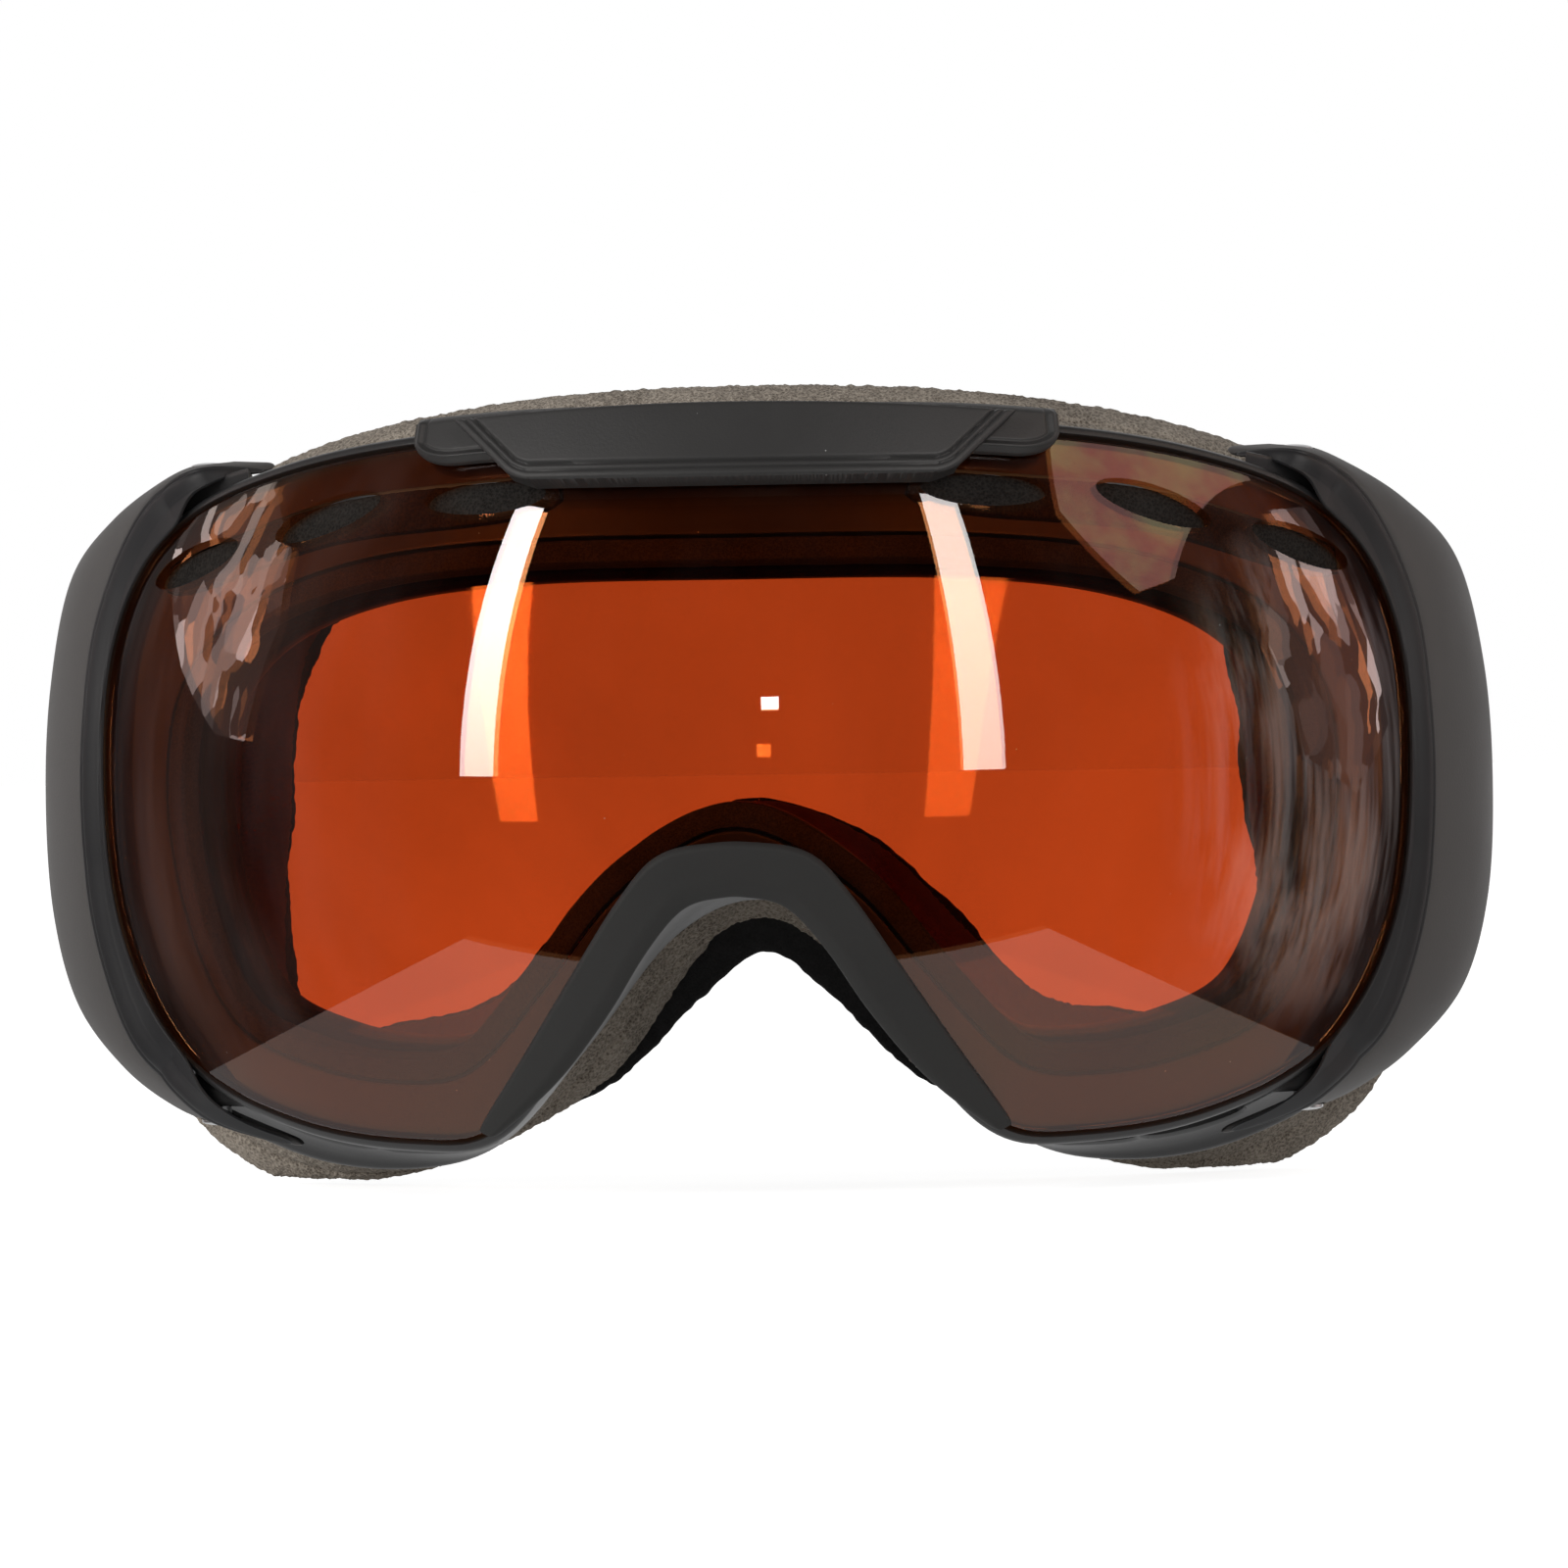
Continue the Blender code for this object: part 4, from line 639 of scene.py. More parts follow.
def evened(section, count):
    """Closed sections resampled to points at equal steps round each one."""
    loops = np.concatenate([section, section[:, :1]], axis=1)
    steps = np.linalg.norm(np.diff(loops, axis=1), axis=2).mean(axis=0)
    length = np.concatenate([[0], np.cumsum(steps)])
    wanted = np.arange(count) / count * length[-1]
    low = np.clip(np.searchsorted(length, wanted, "right") - 1, 0, len(steps) - 1)
    share = ((wanted - length[low]) / steps[low])[None, :, None]
    return loops[:, low] * (1 - share) + loops[:, low + 1] * share


def foam(name, dark, light, cell, depth, sheen=0.0):
    """Open-cell foam: pale struts round dark pores of this size in millimetres, the cells of a
    Voronoi pattern, over a slower change of tone. Where the mesh's shade attribute is high,
    the pores are faint and the tone darker: painted shade on the inner cut face of the foam."""
    material, tree, at = new_finish(name)
    swirl = clouds(tree, at, 900.0 / cell).outputs["Color"]
    bent = node(tree, "VectorMath", {0: swirl, "Scale": 0.35 * cell * MM}, operation="SCALE")
    moved = node(tree, "VectorMath", {0: at, 1: bent}, operation="ADD")
    pores, fine = (
        fitted(tree, cells_of(tree, moved, scale / cell)[0], low, high)
        for scale, low, high in ((1000.0, 0.15, 0.75), (2300.0, 0.1, 0.8))
    )
    # Painted shade: this attribute fades the pores to a flat, darker level on the foam's inner cut face.
    inner_face_shade = node(tree, "Attribute", attribute_name="inner_face_shade").outputs["Fac"]
    web = between(tree, inner_face_shade, between(tree, 0.4, pores, fine), 0.33)
    shift = fitted(tree, clouds(tree, at, 120.0, 3.0), 0.3, 0.7, -0.14, 0.14)
    share = node(tree, "Math", {0: web, 1: shift}, operation="ADD", use_clamp=True)
    look = {"Base Color": mixed(tree, share, dark, light), "Roughness": 0.95}
    return finished(material, {**look, "Specular IOR Level": 0.2, "Sheen Weight": sheen}, web, depth)


vent_foam = foam("vent_foam", (0.003, 0.0028, 0.0026), (0.027, 0.025, 0.023), 0.36, 0.1)
for side, name in ((-1, "right"), (1, "left")):
    corners = vent_strip(side, 0.0, LAND, LAND + 1.5 * MM, 141)
    sections = evened(rounded(corners, [0.3] * 4), 44)
    sections = roughened(sections, 0.035, 0.8, 0.8, 11 + side, closed=False)
    strip = skin(f"vent_strip_{name}", sections, vent_foam)
    stand_in(strip, f"lens_vent_foam_{name}")
WINDOW_FOAMS = (
    ("top", upper_windows[0] - 0.45, upper_windows[-1] + 0.45, 0.5, 0.86, 221),
    ("bottom_left", eye_windows[0] - 0.5, eye_windows[1] + 0.5, 0.3, 0.74, 81),
    ("bottom_right", TURN - eye_windows[1] - 0.5, TURN - eye_windows[0] + 0.5, 0.3, 0.74, 81),
)
near_wall = FRAME_WALL + FIT + 0.3 * MM
for number, (name, first, last, share_from, share_to, count) in enumerate(WINDOW_FOAMS):
    at = np.linspace(first, last, count)
    shares = np.linspace(share_from, share_to, 6)
    corners = [wall(at, share, near_wall) for share in shares]
    corners += [wall(at, share, near_wall + 2.0 * MM) for share in shares[::-1]]
    radii = [0.4, 1.5, 1.5, 1.5, 1.5, 0.4] * 2
    sections = roughened(evened(rounded(corners, radii), 44), 0.05, 0.8, 0.8, 21 + number, closed=False)
    strip = skin(f"vent_mesh_{name}", sections, vent_foam)
    stand_in(strip, f"vent_foam_{name}")


# ---- Inner lens, its gasket and the spacer ----
# The clear inner lens sits on a gasket of black closed-cell foam and is held off the outer
# lens by a spacer ring of the same foam, so that still air between the lenses stops fogging.
seal_foam = foam("seal_foam", (0.006, 0.0055, 0.005), (0.034, 0.031, 0.028), 0.25, 0.03)
INNER_FRONT = LAND + SPACER + STACK_FIT
GASKET_FRONT = INNER_FRONT + INNER_LENS + STACK_FIT
at = ring_at[::3]
for name, node_name, width, front, thick in (
    ("spacer_ring", "lens_spacer", 3.0 * MM, LAND, SPACER),
    ("gasket_ring", "lens_gasket", 2.7 * MM, GASKET_FRONT, GASKET),
):
    corners = [
        edge(SEAT, at, -EDGE_FIT - inset, depth)
        for inset, depth in ((0, front), (width, front), (width, front + thick), (0, front + thick))
    ]
    sections = roughened(evened(rounded(corners, [0.35] * 4), 28), 0.02, 0.8, 0.8, 31)
    stand_in(skin(name, sections, seal_foam, closed=True), node_name)


def dished(name, which, inset, depth, thick, finish, around, rings):
    """A lens: its outline filled in rings that shrink to its middle, on the sphere of its
    front and again on that of its back, with a half-round edge between the two."""
    at = ring_at[:: ROUND // around]
    rim = edge(which, at, -inset, 0.0)[:, [0, 2]]
    middle = np.array([0.0, (rim[0, 1] + rim[around // 2, 1]) / 2])
    radius = thick / 2
    tight = edge(which, at, -inset - radius, 0.0)[:, [0, 2]]
    shares = np.sin(np.linspace(0, np.pi / 2, rings)) ** 0.8
    columns = [on_lens(middle + (tight - middle) * share, depth) for share in shares[1:]]
    for angle in np.linspace(0, np.pi, 9)[1:-1]:
        out = -inset - radius + radius * np.sin(angle)
        columns.append(edge(which, at, out, depth + radius - radius * np.cos(angle)))
    columns += [on_lens(middle + (tight - middle) * share, depth + thick) for share in shares[:0:-1]]
    across = len(columns)
    poles = [on_lens(middle[None], depth), on_lens(middle[None], depth + thick)]
    points = np.concatenate([np.stack(columns, axis=1).reshape(-1, 3), *poles])
    quads = grid_faces(around, across, True)[0]
    quads = quads[quads[:, 0] % across != across - 1]
    start = np.arange(around) * across
    ahead = np.roll(start, -1)
    front_cap = np.stack([np.full(around, len(points) - 2), start, ahead], axis=1)
    rear_cap = np.stack([start + across - 1, np.full(around, len(points) - 1), ahead + across - 1], axis=1)
    return shape(name, points, [quads, front_cap, rear_cap], finish)


def fetched(items, field, width=1, kind=float):
    """One field of all of a mesh's items, in rows of this width."""
    values = np.empty(len(items) * width, kind)
    items.foreach_get(field, values)
    return values.reshape(-1, width) if width > 1 else values


def true_normals(obj, depth, thick, bend=unit):
    """Shades both faces of a lens as the spheres that they are, whatever the mesh's facets,
    or as another curve of nearly the same place, whose normals the function bend gives."""
    mesh = obj.data
    places = fetched(mesh.vertices, "co", 3)[fetched(mesh.loops, "vertex_index", kind=int)]
    faces = np.repeat(fetched(mesh.polygons, "normal", 3), fetched(mesh.polygons, "loop_total", kind=int), axis=0)
    normal = fetched(mesh.corner_normals, "vector", 3)
    facing = (faces * unit(places - CENTRE)).sum(axis=1)
    sunk = LENS_RADIUS - np.linalg.norm(places - CENTRE, axis=1)
    bent = bend(places - CENTRE)
    front = (facing > 0.97) & (np.abs(sunk - depth) < 0.01 * MM)
    rear = (facing < -0.97) & (np.abs(sunk - depth - thick) < 0.01 * MM)
    normal[front], normal[rear] = bent[front], -bent[rear]
    mesh.normals_split_custom_set(normal.tolist())


def lens_glass(name, tint, mottle, patches, coat, roughness, dust):
    """Moulded polycarbonate: light passes with this tint at each face, and a share of 0.05
    plus 0.95 times (1 - cosine of its slant) to the fifth is mirrored. Fine dust lies on it."""
    material, tree, at = new_finish(name, clear=True)
    # Painted light and shade: the tint is blotched darker (thick) and paler (thin), standing in for uneven
    # brightness seen through the lens, not for a change of thickness.
    blotches = clouds(tree, at, patches, 6.0, 0.62, 0.8)
    thick, thin = [c * (1 - mottle) for c in tint], [min(c * (1 + mottle), 1.0) for c in tint]
    clear = node(tree, "BsdfTransparent", {"Color": mixed(tree, blotches, thick, thin)})
    hue = node(tree, "ValToRGB", {0: clouds(tree, at, 14.0, bent=0.6)})
    stops = hue.color_ramp.elements
    stops.new(0.53)
    for stop, position, colour in zip(stops, (0.38, 0.53, 0.66), coat):
        stop.position, stop.color = position, (*colour, 1)
    gloss = node(tree, "BsdfGlossy", {"Color": hue, "Roughness": roughness})
    facing = node(tree, "LayerWeight", {"Blend": 0.5}).outputs["Facing"]
    mirrored = calc(tree, "MULTIPLY_ADD", calc(tree, "POWER", facing, 5.0), 0.95, 0.05)
    surface = node(tree, "MixShader", {0: mirrored, 1: clear, 2: gloss})
    away, number = cells_of(tree, at, 330.0)
    speck = calc(tree, "LESS_THAN", away, fitted(tree, number, 1 - dust, 1.0, 0.0, 0.026))
    dusty = {0: speck, 1: surface, 2: node(tree, "BsdfDiffuse", {"Color": (0.55, 0.5, 0.45)})}
    node(tree, "OutputMaterial", {"Surface": node(tree, "MixShader", dusty)})
    return material


def cut_from_sheet(spokes):
    """Normals of the inner lens, cut from sheet and bent: sideways its slope rises as the
    hyperbolic tangent of x, sooner and less at the top than at the bottom, and up and down
    it curves about a level 6 mm below the outer lens's."""
    x, below = spokes[:, 0] / MM, 28 - spokes[:, 2] / MM
    aside = (0.312 + 0.0076 * below) * np.tanh(x / (24 + 0.45 * below))
    rise = (34 - below) / 94.8
    ahead = -np.sqrt(np.clip(1 - aside**2 - rise**2, 0.04, None))
    return unit(np.stack([aside, ahead, rise], axis=1))


INNER_COAT = ((1, 1, 1), (0.97, 1, 1), (1, 0.97, 0.94))
clear_lens = lens_glass("clear_lens", (0.73, 0.37, 0.235), 0.16, 17.0, INNER_COAT, 0.03, 0.05)
inner_lens = dished("inner_lens", SEAT, EDGE_FIT, INNER_FRONT, INNER_LENS, clear_lens, 360, 26)
true_normals(inner_lens, INNER_FRONT, INNER_LENS, cut_from_sheet)
stand_in(inner_lens, "lens_inner")


# ---- Outer lens ----
# A wide spherical shell of orange-brown polycarbonate, injection moulded with six oval vent
# holes along the top, and coated against scratches. Its edge drops into the frame's rim.
HOLE_LENGTH, HOLE_WIDTH = 15.7 * MM, 4.6 * MM


def hole_plug(side, hole):
    """An oval plug through the lens, flared towards the front for a broken edge."""
    x, z, fall = hole
    tilt = math.radians(fall)
    centre = on_lens(np.array([[side * x, z]]) * MM)
    along, normal = along_sphere(centre, np.array([[math.cos(tilt), -side * math.sin(tilt)]]))
    crosswise = np.cross(normal, along)
    angle = np.linspace(0, 2 * np.pi, 96, endpoint=False)[:, None]
    rows = []
    for height, grow in ((3.0, 0.3), (0.3, 0.3), (-0.15, 0.0), (-6.0, 0.0)):
        long, wide = HOLE_LENGTH / 2 + grow * MM / 2, HOLE_WIDTH / 2 + grow * MM / 2
        oval = np.cos(angle) * along * long + np.sin(angle) * crosswise * wide
        sunk = (oval**2).sum(axis=1)[:, None] / (2 * LENS_RADIUS)
        rows.append(centre + oval + normal * (height * MM - sunk))
    return skin("hole_cutter", rows)


OUTER_COAT = ((1, 0.93, 0.96), (1, 1, 1), (0.93, 1, 0.93))
tinted_lens = lens_glass("tinted_lens", (0.922, 0.6, 0.374), 0.03, 40.0, OUTER_COAT, 0.012, 0.32)
outer_lens = dished("outer_lens", LENS, 0.0, 0.0, OUTER_LENS, tinted_lens, 480, 34)
cut(outer_lens, [hole_plug(side, hole) for side in (-1, 1) for hole in HOLES])
true_normals(outer_lens, 0.0, OUTER_LENS)
stand_in(outer_lens, "lens_outer")


# ---- Nose trim ----
# A dark grey moulded band over the lens's nose edge: a broad slanting face between a narrow
# upper bevel and a wider lower one. It hooks back under the arch and snaps on.
TRIM_BACK, TRIM_HOOK = 0.35 * MM, 3.0 * MM
TRIM_OUTER = ((0, 42.7), (8.4, 41.4), (13.6, 36.2), (20, 26.5), (26, 17.2), (30.9, 9.8), (31.0, 8.8))
TRIM_LOWER = ((0, 36.2), (5.8, 34.9), (10.6, 29.6), (15.2, 22.5), (21.4, 14.7), (28.2, 8.8), (29.9, 8.0))
LAST_TRIM = len(TRIM_OUTER) - 1


def both_sides(points, numbers):
    """A curve through points of one half, mirrored to the other half and blurred except near
    its ends."""
    line = spline(points, np.abs(numbers)) * MM * np.stack([np.where(numbers < 0, -1, 1), 0 * numbers + 1], axis=1)
    soft = blurred(np.vstack([line, line[::-1]]), 3.5)[: len(line)]
    return np.where(np.abs(numbers)[:, None] < 4.6, soft, line)


def eased(u):
    """A step from 0 to 1 with a level start and end: 3 u squared less 2 u cubed."""
    u = np.clip(u, 0, 1)
    return u * u * (3 - 2 * u)


numbers = np.linspace(-LAST_TRIM, LAST_TRIM, 361)
numbers = np.sign(numbers) * LAST_TRIM * (1 - (1 - np.abs(numbers) / LAST_TRIM) ** 1.25)
upper_line, lower_line = both_sides(TRIM_OUTER, numbers), both_sides(TRIM_LOWER, numbers)
middle_line = (upper_line + lower_line) / 2
hook = eased(1.6 - np.abs(numbers) * 2)
tip = np.clip((LAST_TRIM - np.abs(numbers)) / 0.42, 0, 1)
tip = np.sqrt(1 - (1 - tip) ** 2) * 0.97 + 0.03
# Share of the band's width, lift over the lens in millimetres, hook and edge radius.
TRIM_SECTION = (
    (0.0, 0.35, 0, 0.1), (0.0, 1.1, 0, 0.3), (0.07, 1.85, 0, 0.45), (0.3, 1.95, 0, 1.6), (0.74, 2.0, 0, 1.0),
    (0.9, 1.62, 0, 0.6), (1.0, 1.15, 0, 0.4), (1.0, 0.35, 1, 0.15), (0.9, 0.35, 1, 0.15), (0.85, 0.35, 0, 0.1),
)
corners = []
for share, lift, hooked, _ in TRIM_SECTION:
    place = upper_line + (lower_line - upper_line) * share
    place = middle_line + (place - middle_line) * (0.55 + 0.45 * tip)[:, None]
    raised = (lift * MM - TRIM_BACK) * (0.3 + 0.7 * tip)
    corners.append(on_lens(place, TRIM_HOOK * hook * hooked - TRIM_BACK - raised))
sections = rounded(corners, [row[3] for row in TRIM_SECTION])
trim_plastic = moulded("trim_plastic", (0.031, 0.031, 0.0305), 0.6, depth=0.022, specular=0.17)
stand_in(skin("nose_band", sections, trim_plastic), "nose_trim")


# ---- Latch tray ----
# A dark grey moulded plate that hooks over the frame's top rim, with a raised bead round the
# rounded tab at each end. The tabs hold the lens's top edge down.
TRAY_HALF, TRAY_PLATE, TRAY_BEAD, TRAY_DROP = 38.0 * MM, 1.2 * MM, 0.4 * MM, 3.5 * MM
TRAY_LIFT = FIT + TRAY_PLATE


def distance_to(places, line):
    """How far each place is from the nearest point of a line, both seen from ahead."""
    gap = places[..., None, :] - line
    return np.sqrt((gap**2).sum(axis=-1)).min(axis=-1)


def ridge(away, middle, half_width):
    """A smooth bump on a distance: a cosine hill about its middle."""
    u = np.clip((away - middle) / half_width, -1, 1)
    return 0.5 + 0.5 * np.cos(np.pi * u)


def from_ahead(at, out):
    """(x, z) of the lens's edge, moved outwards."""
    return edge(LENS, at, out, 0.0)[:, [0, 2]]


clip_plastic = moulded("clip_plastic", (0.033, 0.033, 0.0328), 0.46, depth=0.02)
x = np.linspace(-1, 1, 461)
x = np.sign(x) * (1 - (1 - np.abs(x)) ** 1.15) * TRAY_HALF
away = np.abs(x) / TRAY_HALF
corner = np.clip((away - 0.86) / 0.14, 0, 1)
drop = TRAY_DROP * eased((away - 0.66) / 0.05) * (1 - (1 - np.sqrt(1 - np.minimum(corner, 0.9995) ** 2)) * 0.93)
at = station_at(x)
top = EDGE_FIT + RIM_WIDTH + FIT
end_lines = [from_ahead(np.repeat(at[k], 40), np.linspace(-drop[k], top, 40)) for k in (0, -1)]
border = np.vstack([from_ahead(at, -drop)[away > 0.69], *end_lines])
corners = [edge(LENS, at, -drop, -FIT)]
raised = np.clip((away - 0.68) / 0.02, 0, 1)
for share in np.concatenate([np.linspace(0, 0.12, 7), np.linspace(0.14, 1, 44)]):
    out = -drop + (top + drop) * share
    inside = distance_to(from_ahead(at, out), border)
    bead = (0.42 * MM * ridge(inside, 0.62 * MM, 0.5 * MM) - 0.16 * MM * ridge(inside, 1.3 * MM, 0.3 * MM)) * raised
    edge_fall = 0.42 * MM * np.clip(1 - share / 0.1, 0, 1) ** 2
    corners.append(edge(LENS, at, out, -(TRAY_LIFT + bead - edge_fall)))
corners += [
    edge(LENS, at, top + TRAY_PLATE, -0.6 * MM),
    wall(at, 0.34, -FIT - TRAY_PLATE),
    wall(at, 0.34, -FIT),
    edge(LENS, at, top, -FIT),
]
tray = skin("latch_tray", np.stack(corners, axis=1), clip_plastic, sharp=50)
stand_in(tray, "clip_tray")


# ---- Latch bar ----
# The sliding bar of the lens latch: a curved plate, wider at the top, with a bead round its
# sides and lower edge. Pushed up, its lip lets the lens's top edge go.
BAR_TOP_HALF, BAR_BOTTOM_HALF, BAR_HEIGHT, BAR_CROWN = 32.5 * MM, 25.1 * MM, 8.6 * MM, 1.5 * MM
BAR_PLATE, BAR_LIP = 1.3 * MM, 1.2 * MM
BAR_BACK = TRAY_LIFT + TRAY_BEAD + 0.4 * MM
BAR_TOP_Z = outline(LENS, np.array([0.0]))[0, 1] + EDGE_FIT + RIM_WIDTH + 0.2 * MM


def bar_place(u, share):
    """(x, z) on the bar: u from its middle to a side, share from its top down. Its lower
    corners are quarter circles, and its top sinks as the square of u."""
    u, share = np.broadcast_arrays(u, share)
    corner = np.clip((share - 0.83) / 0.17, 0, 0.9995)
    half = BAR_TOP_HALF + (BAR_BOTTOM_HALF - BAR_TOP_HALF) * share - 1.9 * MM * (1 - np.sqrt(1 - corner**2))
    z = BAR_TOP_Z - BAR_CROWN * u * u * (1 - share) - BAR_HEIGHT * share
    return np.stack([u * half, z], axis=-1)


u = np.linspace(-1, 1, 281)
u = np.sign(u) * (1 - (1 - np.abs(u)) ** 1.3)
shares = np.concatenate([[0.0, 0.006, 0.015, 0.03], np.linspace(0, 1, 44)[2:-2], [0.97, 0.985, 0.994, 1.0]])
flat = bar_place(u[:, None], shares)
sides = [bar_place(side, np.linspace(0, 1, 200)) for side in (-1.0, 1.0)]
inside = distance_to(flat, np.vstack([*sides, bar_place(np.linspace(-1, 1, 600), 1.0)]))
from_top = distance_to(flat, bar_place(np.linspace(-1, 1, 600), 0.0))
soft = 0.45 * MM
fall = soft - np.sqrt(np.clip(soft**2 - np.clip(soft - np.minimum(inside, from_top), 0, soft) ** 2, 0, None))
groove = 0.34 * MM * ridge(inside, 1.75 * MM, 0.34 * MM) + 0.22 * MM * ridge(inside, 0.95 * MM, 0.26 * MM)
lift = BAR_BACK + BAR_PLATE - fall - groove * (from_top > 0)
LIP_SHARE = 1.0 - BAR_LIP / BAR_HEIGHT
rear = (
    (1.0, FIT + 0.1 * MM), (LIP_SHARE, FIT + 0.1 * MM), (LIP_SHARE, BAR_BACK), (0.45, BAR_BACK), (0.0, BAR_BACK)
)
rear = [on_lens(bar_place(u, share), -height) for share, height in rear]
sections = np.concatenate([on_lens(flat, -lift), np.stack(rear, axis=1)], axis=1)
bar = skin("latch_bar", sections, clip_plastic, sharp=50)
stand_in(bar, "clip_bar", "latch_bar")


# ---- Outriggers ----
# Broad C-shaped arms of matt dark grey nylon. Their ears hold the pivot pins over and under
# the frame, and the strap threads through the slot ahead of the rear edge.
EAR_BEVEL, TONGUE_DROP = 0.8 * MM, 2.8 * MM
ARM_FRONT, ARM_THICK = 1.2 * MM, 2.2 * MM
PIN_RADIUS, PIN_HEAD_RADIUS, PIN_HEAD = 1.3 * MM, 2.3 * MM, 0.8 * MM
ARM_FRONT_EDGE = (
    (-7.6, -2.3, -0.1), (0, -6, 0), (72.6, -1.7, 85.3), (77.6, 1.5, 78), (80.8, 2.6, 68.5),
    (82.2, 1.7, 57), (82.6, 1.3, 46.5), (82.1, 1.2, 36), (80.1, 0.5, 26.5), (76.8, -0.9, 18.2),
    (72.2, -2.4, 13), (0, -6, 0), (-9.8, -1.5, 0),
)
ARM_WIDEST = (
    (-8, -0.5, -0.1), (0, 0, 0), (71.5, 3.5, 86.9), (79, 9.5, 81.9), (85, 15.5, 74.5),
    (88.1, 18.5, 61.5), (89, 19, 47.5), (88.2, 18.5, 33.5), (85, 15.5, 22.4), (78.8, 9.5, 14.8),
    (72, 3.5, 10.2), (0, 0, 0), (-10, 0, 0),
)
ARM_REAR_EDGE = (
    (-7.2, 1.8, -0.1), (0, 4.5, 0), (71.2, 10.2, 86.1), (78.8, 22, 80.2), (84.6, 33.3, 72.2),
    (86.9, 36.6, 60.5), (87.5, 37.2, 47), (86.9, 36.6, 33.5), (84.1, 33.3, 23), (78, 22, 16.3),
    (71.5, 10.2, 11.2), (0, 4.5, 0), (-9.8, 1.5, 0),
)
LAST_ARM = len(ARM_WIDEST) - 1


def arm_rails(numbers):
    """Front edge, widest line and rear edge of the left arm, with its ears in place."""
    high = pin_foot("upper", 1)[0][2] + FIT + EAR_THICK
    low = pin_foot("lower", 1)[0][2] - FIT - EAR_THICK
    rails = []
    for table, bevel in ((ARM_FRONT_EDGE, EAR_BEVEL), (ARM_WIDEST, 0.0), (ARM_REAR_EDGE, EAR_BEVEL / 2)):
        rail = np.array(table) * MM
        rail[[0, 1, -2, -1], :2] += PIVOT
        rail[2:-2, 1] += SIDE_Y
        rail[:2, 2] += high - bevel
        rail[-2:, 2] = low + bevel, low - TONGUE_DROP
        rails.append(spline(rail, numbers))
    return rails


def arm_sections(count, across):
    """The arm's outer face, a parabola across its three rails, and its inner face below it
    by a thickness that closes to a round edge all along: a superellipse of power 10."""
    numbers = np.linspace(0, 1, count)
    numbers = (numbers - 0.035 * np.sin(2 * np.pi * numbers)) * LAST_ARM
    front, widest, rear = (rail[:, None] for rail in arm_rails(numbers))
    share = 0.5 - 0.5 * power(np.cos(np.linspace(0, np.pi, across)), 0.7)
    s = share[:, None]
    grid = front * (s - 0.5) * (s - 1) * 2 + widest * s * (1 - s) * 4 + rear * s * (s - 0.5) * 2
    normal = unit(np.cross(np.gradient(grid, axis=1), np.gradient(grid, axis=0)))
    normal *= np.sign(normal[count // 2, across // 2, 0])
    thick = ARM_FRONT + (ARM_THICK - ARM_FRONT) * np.clip(share / 0.35, 0, 1)
    end = np.minimum(numbers, LAST_ARM - numbers)[:, None]
    thick = np.minimum(thick, 0.8 * MM + 1.4 * MM * np.clip(end / 1.2, 0, 1))
    tip = np.sqrt(1 - (1 - np.clip(end / 0.13, 0, 1)) ** 2) * 0.96 + 0.04
    half = thick / 2 * (1 - np.abs(2 * share - 1) ** 10) ** 0.5 * tip
    middle = grid - normal * (thick / 2)[:, :, None]
    return middle + normal * half[:, :, None], middle - normal * half[:, :, None]


def distance_index(places, wanted):
    """Which of the places lies nearest to each wanted one."""
    return ((wanted[:, None] - places[None]) ** 2).sum(axis=2).argmin(axis=1)


def strap_slot(side, face):
    """A plug through the arm with round ends, flared at its outer face for a soft edge."""
    furthest = arm_rails([LAST_ARM / 2])[2][0]
    angle = np.linspace(0, 2 * np.pi, 72, endpoint=False)
    rows = []
    for out, grow in ((3.0, 0.45), (0.05, 0.45), (-0.4, 0.0), (-7.0, 0.0)):
        radius = (2.8 + grow) * MM
        y = furthest[1] - (4.4 + 2.8) * MM + radius * np.cos(angle)
        z = furthest[2] + (21.0 - 2.8) * MM * np.sign(np.sin(angle)) + radius * np.sin(angle)
        nearest = distance_index(face[:, 1:], np.stack([y, z], axis=1))
        rows.append(np.stack([(face[nearest, 0] + out * MM) * side, y, z], axis=1))
    return skin("strap_cutter", rows)


SEAT_HEIGHT = EAR_THICK - PIN_HEAD
BORE, SEAT_RADIUS = PIN_RADIUS + 0.35 * MM, PIN_HEAD_RADIUS + 0.35 * MM
ear_cut = (
    (BOSS_RADIUS + 2 * FIT, -BOSS_HEIGHT), (BOSS_RADIUS + 2 * FIT, FIT), (BORE, FIT), (BORE, SEAT_HEIGHT),
    (SEAT_RADIUS, SEAT_HEIGHT), (SEAT_RADIUS, EAR_THICK + 0.1 * MM),
    (SEAT_RADIUS + 0.35 * MM, EAR_THICK + 0.45 * MM), (SEAT_RADIUS + 0.35 * MM, EAR_THICK + 2 * MM),
)
arm_plastic = moulded("arm_plastic", (0.072, 0.069, 0.067), 0.6, grain=0.3, depth=0.03, cloud=0.07)
outer, inner = arm_sections(361, 61)
for side, name in ((1, "left"), (-1, "right")):
    sections = np.concatenate([outer, inner[:, ::-1]], axis=1) * (side, 1, 1)
    arm = skin(f"arm_{name}", sections, arm_plastic)
    feet = [pin_foot(level, side) for level in ("upper", "lower")]
    cutters = [skin("ear_cutter", turned(*foot, ear_cut)) for foot in feet]
    cut(arm, [*cutters, strap_slot(side, outer[60:-60].reshape(-1, 3))])
    stand_in(arm, f"outrigger_{name}", f"outrigger_body_{name}")


# ---- Outrigger edging ----
# Soft black rubber moulded on to each arm's front edge. It fills the gap between the arm and
# the lens, and swings with the arm.
EDGE_WIDTHS = ((0, 0.3), (0.5, 1.1), (1.0, 2.2), (1.5, 2.9), (2.2, 3.3), (4.0, 3.2), (6.0, 3.1))
